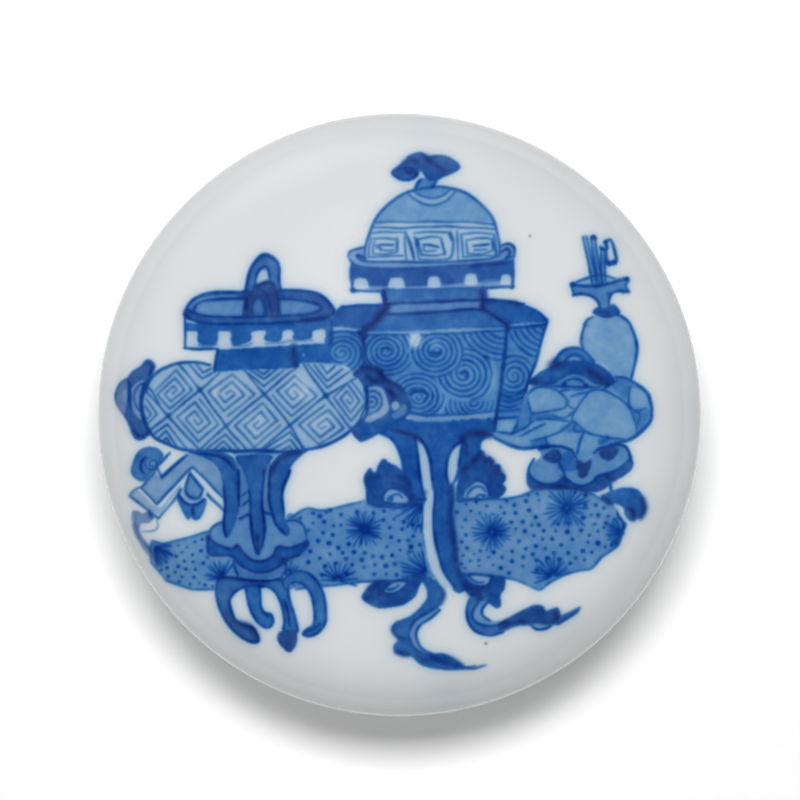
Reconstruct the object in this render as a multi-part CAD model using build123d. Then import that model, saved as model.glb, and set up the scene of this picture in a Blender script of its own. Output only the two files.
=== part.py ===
from build123d import *
import math
import os

# A round porcelain box for seal paste: a footed base with a raised neck, the cake of
# paste inside it, and a low domed cover whose rim drops over the neck.
# Millimetres, +Z up. The origin is on the table, under the middle of the foot.

# The closed box
box_diameter = 96.0  # across the seam, where cover and base are widest
base_height = 21.5  # table to seam
cover_height = 16.5  # seam to the top of the dome

# Cover, outside: the shoulder is a stretch of an ellipse between the dome and the side
shoulder_reach = 13.0
shoulder_depth = 10.0
dome_tilt = 10.0  # how many degrees the dome leans where the shoulder takes over

# Cover, inside
cover_wall = 3.8  # at the top
inner_shoulder_radius = 6.5

# Base, outside
side_band = 4.2  # upright stretch under the seam
belly_sink = 0.7  # how far the belly's curve would dip below the top of the foot
foot_diameter = 61.0
foot_height = 3.2
foot_width = 3.6
foot_taper = 0.7  # how much narrower the foot is at the table, on each side
foot_fillet = 1.2  # where the foot leaves the belly
foot_edge_radius = 0.7  # the softened edges that stand on the table
recess_hollow = 0.5  # how far the middle under the base rises above the foot's root

# The seat: an unglazed ledge on the base, and a neck inside it
ledge_width = 3.4
neck_height = 4.8
neck_thickness = 2.2
neck_lean = 0.25  # how much narrower the neck is at its lip
neck_root_fillet = 0.3
neck_clearance = 0.4  # between the neck and the cover's rim, all round
rim_edge_radius = 0.45  # the softened edges of both rims at the seam

# The glaze is wiped off both rims and leaves a fine step beside the bare band
glaze_thickness = 0.15
bare_band = 1.1

# The well
floor_thickness = 3.6
floor_flat_radius = 20.0

# The cake of paste
paste_side_gap = 0.2  # it rests on the floor and has shrunk this far from the wall
paste_edge_drop = 10.0  # from the neck's lip down to the paste's edge
paste_crown = 4.2  # how much higher the middle of the paste is than its edge
paste_edge_radius = 2.4

# Places that follow from these sizes
seam = base_height
top = base_height + cover_height
rim_radius = box_diameter / 2
bare_radius = rim_radius - glaze_thickness
neck_radius = rim_radius - ledge_width
neck_lip = seam + neck_height
well_radius = neck_radius - neck_thickness
foot_radius = foot_diameter / 2
floor_height = foot_height + floor_thickness
side_foot = seam - side_band


def arc_radius(half_width, rise):
    """The radius of the arc that rises this much over this half width."""
    return (half_width**2 + rise**2) / (2 * rise)


def turned(outline, corners):
    """The solid of a half profile, drawn as (radius, height) and turned about Z.

    corners lists the profile's rounded corners, as (radius, height, fillet radius).
    """
    face = make_face(outline)
    for radius, height, fillet_radius in corners:
        corner = face.vertices().sort_by_distance((radius, height, 0))[0]
        face = fillet(corner, fillet_radius)
    return revolve(Plane.XZ * face, Axis.Z)


def cover():
    """The domed cover: a shell with a plain rim that drops over the neck."""
    # The angle of the ellipse at which it leans as the dome does
    tilt = math.radians(dome_tilt)
    join_turn = math.atan2(shoulder_depth, shoulder_reach * math.tan(tilt))
    join_radius = rim_radius - shoulder_reach * (1 - math.cos(join_turn))
    join_height = top - join_radius * math.tan(tilt / 2)
    side_top = join_height - shoulder_depth * math.sin(join_turn)
    shoulder = EllipticalCenterArc(
        (rim_radius - shoulder_reach, side_top),
        shoulder_reach,
        shoulder_depth,
        start_angle=0,
        arc_size=math.degrees(join_turn),
    )
    outer_dome = join_radius / math.sin(tilt)
    dome_centre = top - outer_dome
    inner_dome = outer_dome - cover_wall
    inner_top = top - cover_wall
    bore = neck_radius + neck_clearance
    inner_corner = dome_centre + math.sqrt(inner_dome**2 - bore**2)
    outline = [
        Line((0, inner_top), (0, top)),
        RadiusArc((0, top), (join_radius, join_height), outer_dome),
        shoulder,
        Line((rim_radius, side_top), (rim_radius, seam + bare_band)),
        Line((rim_radius, seam + bare_band), (bare_radius, seam + bare_band)),
        Line((bare_radius, seam + bare_band), (bare_radius, seam)),
        Line((bare_radius, seam), (bore, seam)),
        Line((bore, seam), (bore, inner_corner)),
        RadiusArc((bore, inner_corner), (0, inner_top), -inner_dome),
    ]
    corners = [
        (bore, inner_corner, inner_shoulder_radius),
        (bare_radius, seam, rim_edge_radius),
        (bore, seam, rim_edge_radius),
    ]
    return turned(outline, corners)


def base():
    """The base: a flattened bowl on a foot ring, with a bare ledge and a neck."""
    # The belly is a stretch of an ellipse: it leaves the side upright and passes
    # through the top of the foot
    belly_depth = side_foot - foot_height + belly_sink
    belly_turn = math.asin((side_foot - foot_height) / belly_depth)
    belly_reach = (rim_radius - foot_radius) / (1 - math.cos(belly_turn))
    belly_angle = math.degrees(belly_turn)
    belly = EllipticalCenterArc(
        (rim_radius - belly_reach, side_foot),
        belly_reach,
        belly_depth,
        start_angle=-belly_angle,
        arc_size=belly_angle,
    )
    # The well's wall is a quarter of an ellipse that ends level on the floor
    well = EllipticalCenterArc(
        (floor_flat_radius, side_foot),
        well_radius - floor_flat_radius,
        side_foot - floor_height,
        start_angle=-90,
        arc_size=90,
    )
    lip_radius = neck_radius - neck_lean
    foot_tip = foot_radius - foot_taper
    foot_inner_tip = foot_radius - foot_width + foot_taper
    recess_radius = foot_radius - foot_width
    recess_edge = foot_height - recess_hollow
    glaze_edge = seam - bare_band
    outline = [
        Line((0, foot_height), (0, floor_height)),
        Line((0, floor_height), (floor_flat_radius, floor_height)),
        well,
        Line((well_radius, side_foot), (well_radius, neck_lip)),
        Line((well_radius, neck_lip), (lip_radius, neck_lip)),
        Line((lip_radius, neck_lip), (neck_radius, seam)),
        Line((neck_radius, seam), (bare_radius, seam)),
        Line((bare_radius, seam), (bare_radius, glaze_edge)),
        Line((bare_radius, glaze_edge), (rim_radius, glaze_edge)),
        Line((rim_radius, glaze_edge), (rim_radius, side_foot)),
        belly,
        Line((foot_radius, foot_height), (foot_tip, 0)),
        Line((foot_tip, 0), (foot_inner_tip, 0)),
        Line((foot_inner_tip, 0), (recess_radius, recess_edge)),
        RadiusArc(
            (recess_radius, recess_edge), (0, foot_height), -arc_radius(recess_radius, recess_hollow)
        ),
    ]
    lip_fillet = neck_thickness / 2 - neck_lean
    corners = [
        (lip_radius, neck_lip, lip_fillet),
        (well_radius, neck_lip, lip_fillet),
        (neck_radius, seam, neck_root_fillet),
        (bare_radius, seam, rim_edge_radius),
        (foot_radius, foot_height, foot_fillet),
        (foot_tip, 0, foot_edge_radius),
        (foot_inner_tip, 0, foot_edge_radius),
        (recess_radius, recess_edge, foot_fillet),
    ]
    return turned(outline, corners)


def seal_paste():
    """The cake of paste: it lies on the well's floor and swells towards the middle."""
    # Its side follows the well's wall, drawn in by the gap that it has shrunk
    side_reach = well_radius - paste_side_gap - floor_flat_radius
    side_depth = side_foot - floor_height
    edge_height = neck_lip - paste_edge_drop
    edge_turn = math.asin((side_foot - edge_height) / side_depth)
    edge_radius = floor_flat_radius + side_reach * math.cos(edge_turn)
    side = EllipticalCenterArc(
        (floor_flat_radius, side_foot),
        side_reach,
        side_depth,
        start_angle=-90,
        arc_size=90 - math.degrees(edge_turn),
    )
    crown_top = edge_height + paste_crown
    crown = RadiusArc(
        (edge_radius, edge_height), (0, crown_top), -arc_radius(edge_radius, paste_crown)
    )
    outline = [
        Line((0, crown_top), (0, floor_height)),
        Line((0, floor_height), (floor_flat_radius, floor_height)),
        side,
        crown,
    ]
    return turned(outline, [(edge_radius, edge_height, paste_edge_radius)])


os.makedirs("parts", exist_ok=True)
for name, make in (("base", base), ("seal_paste", seal_paste), ("cover", cover)):
    export_step(make(), os.path.join("parts", name + ".step"))
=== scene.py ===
"""Dresses a round porcelain box for seal paste, painted in underglaze cobalt.

The cover and the base are turned surfaces in clear glaze over white porcelain, bare on
the rims, the neck and the foot. The cover carries the traditional painting of a
scholar's treasures: a footed censer, a domed square vase, a bottle with tools, a
crackled burner, a dotted scroll, a stone chime and silk ribbons. The brushwork is laid
as strokes and washes on a fine grid over the dome, in the pixels of the photograph's
frame, and each vessel or thing that is painted is a piece of the glaze of its own.

Lengths are metres, apart from the brushwork, which is in the photograph's pixels.
"""

import logging
import math
from dataclasses import dataclass, field
from enum import Enum
from typing import Optional, Sequence

import bpy
import numpy as np
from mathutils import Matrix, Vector


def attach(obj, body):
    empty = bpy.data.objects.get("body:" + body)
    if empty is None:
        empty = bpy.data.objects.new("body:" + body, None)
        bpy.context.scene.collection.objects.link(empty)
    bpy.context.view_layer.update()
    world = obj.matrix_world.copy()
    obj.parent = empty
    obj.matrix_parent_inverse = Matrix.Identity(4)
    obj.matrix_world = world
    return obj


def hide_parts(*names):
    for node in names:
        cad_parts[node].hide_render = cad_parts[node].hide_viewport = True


logging.basicConfig(level=logging.INFO, format="%(message)s")
log = logging.getLogger("seal_paste_box")

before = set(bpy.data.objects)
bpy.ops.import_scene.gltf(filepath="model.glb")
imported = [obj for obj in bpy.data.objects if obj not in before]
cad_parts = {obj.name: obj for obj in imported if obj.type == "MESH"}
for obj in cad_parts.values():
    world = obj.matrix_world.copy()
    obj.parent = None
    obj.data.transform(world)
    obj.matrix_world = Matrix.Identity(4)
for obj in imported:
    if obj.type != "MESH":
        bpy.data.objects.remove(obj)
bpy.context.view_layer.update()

MM = 0.001
Point = tuple[float, float]
Points = Sequence[Point]
Colour = tuple[float, float, float]
Paint = tuple[float, float, float, float]


# The photograph's view

@dataclass(frozen=True)
class PhotoView:
    """How the photograph's pixels lie on the box, seen straight from above."""

    picture_width: float = 800.0
    rim_centre: Point = (399.4, 414.8)
    rim_radius_px: float = 300.2
    rim_radius: float = 48.0 * MM
    rim_height: float = 21.5 * MM
    camera_distance: float = 0.9
    sensor_width: float = 36.0
    far_limit: float = 10.0

    @property
    def metres_per_pixel(self) -> float:
        """The size of a pixel at the height of the rim."""
        return self.rim_radius / self.rim_radius_px

    @property
    def aim(self) -> Point:
        """The place on the box that lies at the middle of the picture."""
        middle = self.picture_width / 2
        x = (middle - self.rim_centre[0]) * self.metres_per_pixel
        y = (self.rim_centre[1] - middle) * self.metres_per_pixel
        return x, y

    def place(self, x: np.ndarray, y: np.ndarray, height: float) -> tuple[np.ndarray, np.ndarray]:
        """Puts pixels on the box, for a surface near a given height.

        Args:
            x: pixels from the picture's left edge.
            y: pixels from the picture's top edge.
            height: the surface's height, which the view's perspective depends on.

        Returns:
            The X and Y of the pixels on the box.
        """
        nearer = 1.0 - (height - self.rim_height) / self.camera_distance
        step = self.metres_per_pixel * nearer
        middle = self.picture_width / 2
        aim_x, aim_y = self.aim
        return aim_x + (x - middle) * step, aim_y - (y - middle) * step

    def pixel(self, x: np.ndarray, y: np.ndarray, height: np.ndarray) -> tuple[np.ndarray, np.ndarray]:
        """The pixels where places on the box are seen."""
        step = self.metres_per_pixel * (1.0 - (height - self.rim_height) / self.camera_distance)
        middle = self.picture_width / 2
        return middle + (x - self.aim[0]) / step, middle - (y - self.aim[1]) / step

    def add_camera(self) -> None:
        """Makes the camera that looks straight down with the photograph's framing."""
        data = bpy.data.cameras.new("camera")
        data.sensor_width = self.sensor_width
        width = self.picture_width * self.metres_per_pixel
        data.lens = self.sensor_width * self.camera_distance / width
        data.clip_end = self.far_limit
        camera = bpy.data.objects.new("camera", data)
        camera.location = (*self.aim, self.rim_height + self.camera_distance)
        bpy.context.collection.objects.link(camera)
        bpy.context.scene.camera = camera


VIEW = PhotoView()


# Meshes

def mesh_piece(name: str, points: np.ndarray, faces: np.ndarray, body: str,
               material: bpy.types.Material, values: Optional[dict[str, np.ndarray]] = None,
               chart: Optional[np.ndarray] = None) -> bpy.types.Object:
    """Makes a smooth mesh piece from whole arrays.

    Args:
        name: the piece's name.
        points: N by 3 array of places.
        faces: M by 4 array of corners, where a triangle repeats its last corner.
        body: the body that the piece rides on.
        material: the piece's material.
        values: values at the points, by attribute name.
        chart: N by 2 array of each point's place in a UV map, if it has one.

    Returns:
        The new object.
    """
    mesh = bpy.data.meshes.new(name)
    four = faces[:, 3] != faces[:, 2]
    counts = np.where(four, 4, 3)
    keep = np.ones(faces.shape, bool)
    keep[:, 3] = four
    corners = faces[keep]
    mesh.vertices.add(len(points))
    mesh.vertices.foreach_set("co", np.asarray(points, np.float32).ravel())
    mesh.loops.add(len(corners))
    mesh.loops.foreach_set("vertex_index", corners.astype(np.int32))
    mesh.polygons.add(len(faces))
    mesh.polygons.foreach_set("loop_start", np.concatenate(([0], np.cumsum(counts)[:-1])).astype(np.int32))
    mesh.update(calc_edges=True)
    mesh.polygons.foreach_set("use_smooth", np.ones(len(faces), bool))
    for key, value in (values or {}).items():
        layer = mesh.attributes.new(key, "FLOAT", "POINT")
        layer.data.foreach_set("value", np.asarray(value, np.float32))
    if chart is not None:
        mesh.uv_layers.new(name="OFBake").uv.foreach_set("vector", chart[corners].astype(np.float32).ravel())
    mesh.validate()
    mesh.materials.append(material)
    piece = bpy.data.objects.new(name, mesh)
    bpy.context.collection.objects.link(piece)
    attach(piece, body)
    log.info("%s: %d faces", name, len(faces))
    return piece


# Shader helpers

class Nodes:
    """Adds and links nodes in one node tree."""

    def __init__(self, tree: bpy.types.NodeTree) -> None:
        """Remembers the tree."""
        self.tree = tree

    def add(self, kind: str, **settings: object) -> bpy.types.Node:
        """Adds a node.

        Args:
            kind: the node's type, without the word ShaderNode.
            settings: the node's own properties.

        Returns:
            The node.
        """
        node = self.tree.nodes.new("ShaderNode" + kind)
        for key, value in settings.items():
            setattr(node, key, value)
        return node

    def feed(self, socket: bpy.types.NodeSocket, source: object) -> None:
        """Links a socket to another, or sets its value."""
        if isinstance(source, bpy.types.NodeSocket):
            self.tree.links.new(source, socket)
        else:
            socket.default_value = source

    def math(self, operation: str, *sources: object, clamp: bool = False) -> bpy.types.NodeSocket:
        """Adds a Math node and gives its result."""
        node = self.add("Math", operation=operation, use_clamp=clamp)
        for socket, source in zip(node.inputs, sources):
            self.feed(socket, source)
        return node.outputs[0]

    def noise(self, vector: object, scale: float, detail: float = 2.0, roughness: float = 0.5
              ) -> bpy.types.NodeSocket:
        """Adds a Noise Texture on a place and gives its value, about 0.5."""
        node = self.add("TexNoise")
        self.feed(node.inputs["Vector"], vector)
        node.inputs["Scale"].default_value = scale
        node.inputs["Detail"].default_value = detail
        node.inputs["Roughness"].default_value = roughness
        return node.outputs["Fac"]

    def spread(self, value: object, low: float, high: float, to_low: float, to_high: float
               ) -> bpy.types.NodeSocket:
        """Maps a range of values to another and stops at its ends."""
        node = self.add("MapRange")
        for socket, source in zip(node.inputs, (value, low, high, to_low, to_high)):
            self.feed(socket, source)
        return node.outputs[0]

    def mix(self, share: object, first: object, second: object, blend: str = "MIX"
            ) -> bpy.types.NodeSocket:
        """Mixes two colours."""
        node = self.add("Mix", data_type="RGBA", blend_type=blend)
        self.feed(node.inputs["Factor"], share)
        for key, source in (("A", first), ("B", second)):
            socket = [s for s in node.inputs if s.name == key and s.type == "RGBA"][0]
            self.feed(socket, source)
        return [s for s in node.outputs if s.type == "RGBA"][0]

    def bump(self, height: object, distance: float) -> bpy.types.NodeSocket:
        """Adds a Bump node of full strength and gives its normal."""
        node = self.add("Bump")
        node.inputs["Strength"].default_value = 1.0
        node.inputs["Distance"].default_value = distance
        self.feed(node.inputs["Height"], height)
        return node.outputs["Normal"]

    def attribute(self, name: str) -> bpy.types.NodeSocket:
        """Reads a value that the mesh carries at its points, or 0."""
        return self.add("Attribute", attribute_type="GEOMETRY", attribute_name=name).outputs["Fac"]

    def place(self) -> bpy.types.NodeSocket:
        """Object coordinates, in metres."""
        return self.add("TexCoord").outputs["Object"]


def new_group(name: str, inputs: dict[str, str], outputs: dict[str, str]
              ) -> tuple[bpy.types.NodeTree, Nodes, bpy.types.Node, bpy.types.Node]:
    """Starts a shader node group with named sockets.

    Args:
        name: the group's name.
        inputs: socket types by name.
        outputs: socket types by name.

    Returns:
        The tree, its node helper, and its input and output nodes.
    """
    tree = bpy.data.node_groups.new(name, "ShaderNodeTree")
    for key, kind in inputs.items():
        tree.interface.new_socket(key, in_out="INPUT", socket_type="NodeSocket" + kind)
    for key, kind in outputs.items():
        tree.interface.new_socket(key, in_out="OUTPUT", socket_type="NodeSocket" + kind)
    nodes = Nodes(tree)
    return tree, nodes, tree.nodes.new("NodeGroupInput"), tree.nodes.new("NodeGroupOutput")


def linear(red: int, green: int, blue: int) -> Paint:
    """A colour written as it looks on a screen, as the renderer's own linear values."""
    share = np.array((red, green, blue)) / 255.0
    value = np.where(share <= 0.04045, share / 12.92, ((share + 0.055) / 1.055) ** 2.4)
    return (*(float(v) for v in value), 1.0)


# Finishes

@dataclass(frozen=True)
class Porcelain:
    """White porcelain under a clear, faintly blue-green glaze, with bare rims.

    The mesh says where the porcelain is bare, in the attribute "bare", and where the
    brush went, in "cobalt", "violet" and "iron".
    """

    glaze_colour: Paint = linear(234, 236, 238)
    pooled_colour: Paint = linear(228, 232, 234)
    bare_colour: Paint = linear(226, 217, 203)
    bare_light: Paint = linear(238, 231, 219)
    flash_colour: Paint = linear(196, 148, 104)
    iron_colour: Paint = linear(110, 72, 46)
    glaze_roughness: float = 0.13
    bare_roughness: float = 0.62
    cobalt_absorption: Colour = (1.04, 0.52, 0.185)
    violet_absorption: Colour = (1.0, 0.7, 0.33)
    flash_gain: float = 3.2
    cloud_scale: float = 34.0
    clay_scale: float = 900.0
    wave_scale: float = 260.0
    peel_scale: float = 1100.0
    peel_share: float = 0.16
    grit_scale: float = 4200.0
    grit_share: float = 1.2
    relief: float = 0.02 * MM
    refraction: float = 1.5

    def brush_group(self) -> bpy.types.NodeTree:
        """A group that darkens a ground colour as cobalt under glaze does.

        Each channel is the ground times e to the power of minus pigment times the
        channel's absorption, which moves from clear blue to violet.
        """
        tree, n, source, result = new_group(
            "underglaze_cobalt",
            {"Ground": "Color", "Pigment": "Float", "Violet": "Float"},
            {"Colour": "Color"},
        )
        parts = n.add("CombineXYZ")
        for index in range(3):
            blue = self.cobalt_absorption[index]
            change = self.violet_absorption[index] - blue
            absorption = n.math("MULTIPLY_ADD", source.outputs["Violet"], change, blue)
            depth = n.math("MULTIPLY", source.outputs["Pigment"], absorption)
            kept = n.math("EXPONENT", n.math("MULTIPLY", depth, -1.0))
            n.feed(parts.inputs[index], kept)
        n.feed(result.inputs["Colour"], n.mix(1.0, source.outputs["Ground"], parts.outputs[0], "MULTIPLY"))
        return tree

    def glaze_group(self) -> bpy.types.NodeTree:
        """A group with the glaze's own tone, its fine unevenness and the grit of the bare clay."""
        tree, n, source, result = new_group(
            "clear_glaze",
            {"Place": "Vector", "Bare": "Float"},
            {"Colour": "Color", "Roughness": "Float", "Height": "Float"},
        )
        place = source.outputs["Place"]
        bare = source.outputs["Bare"]
        clouds = n.spread(n.noise(place, self.cloud_scale, 3.0), 0.35, 0.7, 0.0, 1.0)
        tone = n.mix(clouds, self.glaze_colour, self.pooled_colour)
        clay = n.mix(n.noise(place, self.clay_scale, 4.0, 0.7), self.bare_colour, self.bare_light)
        edge = n.math("MULTIPLY", bare, n.math("SUBTRACT", 1.0, bare))
        flash = n.math("MULTIPLY", edge, self.flash_gain, clamp=True)
        colour = n.mix(flash, n.mix(bare, tone, clay), self.flash_colour)
        n.feed(result.inputs["Colour"], colour)
        n.feed(result.inputs["Roughness"],
               n.spread(bare, 0.2, 0.8, self.glaze_roughness, self.bare_roughness))
        waves = n.noise(place, self.wave_scale, 2.0, 0.45)
        peel = n.math("MULTIPLY", n.noise(place, self.peel_scale, 2.0, 0.5), self.peel_share)
        grit = n.math("MULTIPLY", n.noise(place, self.grit_scale, 3.0, 0.7), self.grit_share)
        grit = n.math("MULTIPLY", grit, bare)
        n.feed(result.inputs["Height"], n.math("ADD", n.math("ADD", waves, peel), grit))
        return tree

    def material(self, name: str) -> bpy.types.Material:
        """Builds the material."""
        material = bpy.data.materials.new(name)
        material.use_nodes = True
        tree = material.node_tree
        tree.nodes.clear()
        n = Nodes(tree)
        glaze = n.add("Group", node_tree=bpy.data.node_groups.get("clear_glaze") or self.glaze_group())
        n.feed(glaze.inputs["Place"], n.place())
        n.feed(glaze.inputs["Bare"], n.attribute("bare"))
        brush = n.add("Group", node_tree=bpy.data.node_groups.get("underglaze_cobalt") or self.brush_group())
        n.feed(brush.inputs["Ground"], glaze.outputs["Colour"])
        n.feed(brush.inputs["Pigment"], n.attribute("cobalt"))
        n.feed(brush.inputs["Violet"], n.attribute("violet"))
        colour = n.mix(n.attribute("iron"), brush.outputs["Colour"], self.iron_colour)
        shader = n.add("BsdfPrincipled")
        n.feed(shader.inputs["Base Color"], colour)
        n.feed(shader.inputs["Roughness"], glaze.outputs["Roughness"])
        n.feed(shader.inputs["Normal"], n.bump(glaze.outputs["Height"], self.relief))
        shader.inputs["IOR"].default_value = self.refraction
        output = n.add("OutputMaterial")
        n.feed(output.inputs["Surface"], shader.outputs[0])
        return material


@dataclass(frozen=True)
class CinnabarPaste:
    """Vermilion seal paste: fibres soaked in oil and cinnabar, glossy in its hollows."""

    bright: Paint = linear(216, 48, 27)
    deep: Paint = linear(150, 20, 14)
    oily_roughness: float = 0.34
    dull_roughness: float = 0.62
    coat: float = 0.12
    coat_roughness: float = 0.18
    swirl_scale: float = 60.0
    swirl_reach: float = 12 * MM
    fibre_scale: float = 1500.0
    fibre_relief: float = 0.35
    lump_scale: float = 240.0
    lump_relief: float = 0.6
    relief: float = 0.6 * MM

    def material(self, name: str) -> bpy.types.Material:
        """Builds the material."""
        material = bpy.data.materials.new(name)
        material.use_nodes = True
        tree = material.node_tree
        tree.nodes.clear()
        n = Nodes(tree)
        place = n.place()
        warp = n.add("VectorMath", operation="SCALE")
        swirl = n.add("TexNoise")
        swirl.inputs["Scale"].default_value = self.swirl_scale
        n.feed(swirl.inputs["Vector"], place)
        n.feed(warp.inputs[0], swirl.outputs["Color"])
        warp.inputs["Scale"].default_value = self.swirl_reach
        bent = n.add("VectorMath", operation="ADD")
        n.feed(bent.inputs[0], place)
        n.feed(bent.inputs[1], warp.outputs[0])
        fibres = n.noise(bent.outputs[0], self.fibre_scale, 5.0, 0.65)
        lumps = n.noise(place, self.lump_scale, 3.0)
        shade = n.math("MULTIPLY", n.spread(fibres, 0.35, 0.65, 0.0, 1.0),
                       n.spread(lumps, 0.3, 0.6, 0.35, 1.0))
        shader = n.add("BsdfPrincipled")
        n.feed(shader.inputs["Base Color"], n.mix(shade, self.deep, self.bright))
        n.feed(shader.inputs["Roughness"],
               n.spread(lumps, 0.35, 0.65, self.oily_roughness, self.dull_roughness))
        height = n.math("MULTIPLY", lumps, self.lump_relief)
        height = n.math("ADD", height, n.math("MULTIPLY", fibres, self.fibre_relief))
        n.feed(shader.inputs["Normal"], n.bump(height, self.relief))
        shader.inputs["Coat Weight"].default_value = self.coat
        shader.inputs["Coat Roughness"].default_value = self.coat_roughness
        output = n.add("OutputMaterial")
        n.feed(output.inputs["Surface"], shader.outputs[0])
        return material


# The brush

class Tone(float, Enum):
    """How much cobalt a dark line carries."""

    FULL = 3.3
    DEEP = 3.8
    DARK = 4.4


@dataclass
class Brushwork:
    """The painting's pigment, as fields on a square grid in the photograph's pixels.

    Lengths are pixels. The tones add pigment, of which 3 is a full blue.
    """

    left: float = 108.0
    right: float = 664.0
    top: float = 144.0
    bottom: float = 676.0
    pitch: float = 0.72
    spread: float = 0.85
    seen_spread: float = 1.15
    halo: float = 3.2
    halo_share: float = 0.2
    haze_spread: float = 8.5
    haze_share: float = 0.1
    grey_thin: float = 0.5
    mottle: tuple[Point, ...] = ((1.1, 0.045), (2.6, 0.03), (8.0, 0.035))
    mottle_limits: Point = (0.7, 1.35)
    sway: float = 0.28
    sway_steps: Point = (4.0, 12.0)
    hand: float = 0.12
    hand_tone: float = 0.6
    full_width_from: float = 0.25
    thin_base: float = 0.5
    thin_gain: float = 0.68
    pool_spread: float = 2.6
    pool_edge: float = 1.6
    wash_margin: float = 6.0
    wash_overlap: float = 0.25
    line_overlap: float = 0.08
    least_owned: float = 0.02
    heap_violet: float = 0.5
    heap_spread: float = 0.3
    dot_range: Point = (0.82, 1.18)
    ray_width: float = 1.5
    ray_taper: Point = (1.25, 0.5)
    ray_heart: float = 3.9
    arc_points: int = 10
    round_points: int = 12
    seed: int = 5
    piece: int = 0
    lean: float = 0.0
    names: list[str] = field(default_factory=list)

    def __post_init__(self) -> None:
        """Makes the empty fields."""
        self.xs = np.arange(self.left, self.right, self.pitch)
        self.ys = np.arange(self.top, self.bottom, self.pitch)
        shape = (len(self.ys), len(self.xs))
        self.cobalt = np.zeros(shape, np.float32)
        self.violet = np.zeros(shape, np.float32)
        self.iron = np.zeros(shape, np.float32)
        self.owner = np.full(shape, -1, np.int16)
        self.clip: Optional[np.ndarray] = None

    def start(self, name: str, lean: float) -> None:
        """Gives what is painted from here on to a piece of this name, whose blue leans to violet."""
        if name not in self.names:
            self.names.append(name)
        self.piece = self.names.index(name)
        self.lean = lean

    def window(self, points: np.ndarray, margin: float) -> tuple[slice, slice]:
        """The rows and columns that a group of points covers, with a margin."""
        ends = np.stack((points.min(0) - margin, points.max(0) + margin))
        columns = np.clip(((ends[:, 0] - self.left) / self.pitch).astype(int), 0, len(self.xs) - 1)
        rows = np.clip(((ends[:, 1] - self.top) / self.pitch).astype(int), 0, len(self.ys) - 1)
        return slice(rows[0], rows[1] + 2), slice(columns[0], columns[1] + 2)

    @staticmethod
    def curve(points: Points, closed: bool = False, step: float = 1.1) -> np.ndarray:
        """Runs a smooth line through points; a point given twice is a corner.

        The points are pairs, or a plain row of numbers: x, y, x, y.

        Between two points the line is the cubic whose slope at each is half the
        distance between that point's neighbours.
        """
        given = np.reshape(np.array(points, float), (-1, 2))
        if closed:
            padded = np.vstack((given[-1], given, given[:2]))
        else:
            padded = np.vstack((2 * given[0] - given[1], given, 2 * given[-1] - given[-2]))
        runs = []
        for before, start, stop, after in zip(padded, padded[1:], padded[2:], padded[3:]):
            length = float(np.hypot(*(stop - start)))
            if length < 1e-6:
                continue
            t = np.linspace(0, 1, max(2, int(length / step) + 1), endpoint=False)[:, None]
            out = (stop - before) / 2
            into = (after - start) / 2
            runs.append(
                (2 * t**3 - 3 * t**2 + 1) * start + (t**3 - 2 * t**2 + t) * out
                + (3 * t**2 - 2 * t**3) * stop + (t**3 - t**2) * into
            )
        if not closed:
            runs.append(given[-1:])
        return np.vstack(runs)

    def inside(self, outline: Points) -> np.ndarray:
        """Marks the samples inside a closed smooth outline, by counting crossings."""
        path = self.curve(outline, closed=True)
        mask = np.zeros(self.cobalt.shape, bool)
        following = np.roll(path, -1, axis=0)
        for (x1, y1), (x2, y2) in zip(path, following):
            low, high = sorted((y1, y2))
            first, last = np.searchsorted(self.ys, (low, high))
            if first == last:
                continue
            rows = self.ys[first:last]
            crossing = x1 + (rows - y1) * (x2 - x1) / (y2 - y1)
            ends = np.searchsorted(self.xs, crossing)
            mask[first:last] ^= np.arange(len(self.xs))[None, :] < ends[:, None]
        return mask

    def lay(self, rows: slice, columns: slice, amount: np.ndarray, violet: Optional[float],
            overlap: float) -> None:
        """Adds pigment: the stronger of old and new, and a share of the weaker.

        Its lean to violet takes over as far as it matches what lay there.

        Args:
            rows: the window's rows.
            columns: the window's columns.
            amount: the pigment in the window.
            violet: how far its colour leans to violet, or None for the piece's own.
            overlap: the share of the weaker that adds to the stronger.
        """
        if self.clip is not None:
            amount = amount * self.clip[rows, columns]
        old = self.cobalt[rows, columns]
        most = np.maximum(old, amount)
        lean = self.lean if violet is None else violet
        self.violet[rows, columns] += (lean - self.violet[rows, columns]) * amount / np.maximum(most, 0.1)
        self.cobalt[rows, columns] = most + overlap * np.minimum(old, amount)
        self.owner[rows, columns][amount > self.least_owned] = self.piece

    def wash(self, outline: Points, tone: float, violet: Optional[float] = None, pool: float = 0.18,
             edge: float = 0.0, edge_width: float = 2.0) -> None:
        """Fills an outline with a wash.

        Args:
            outline: the wash's closed outline.
            tone: how much cobalt it carries.
            violet: how far its colour leans to violet, or None for the piece's own.
            pool: how much darker the wash dries along its edge, as a share.
            edge: the tone of a line round it, or 0 for none.
            edge_width: the width of that line.
        """
        path = self.curve(outline, closed=True)
        rows, columns = self.window(path, self.wash_margin)
        mask = self.inside(outline)[rows, columns].astype(np.float32)
        soft = blurred(mask, self.pool_spread / self.pitch)
        amount = mask * tone * (1 + pool * (self.pool_edge - 2 * soft))
        self.lay(rows, columns, amount, violet, self.wash_overlap)
        if edge:
            given = np.reshape(outline, (-1, 2))
            self.line(np.vstack((given, given[:1])), edge_width, edge, violet)

    def reserve(self, outline: Points, keep: float = 0.0) -> None:
        """Clears the paint inside an outline, down to a share of what was there."""
        mask = self.inside(outline)
        self.cobalt[mask] *= keep

    def over(self, outline: Points, *wash: float) -> None:
        """Clears an outline and fills it with a wash, so that nothing under it shows."""
        self.reserve(outline)
        self.wash(outline, *wash)

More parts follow.
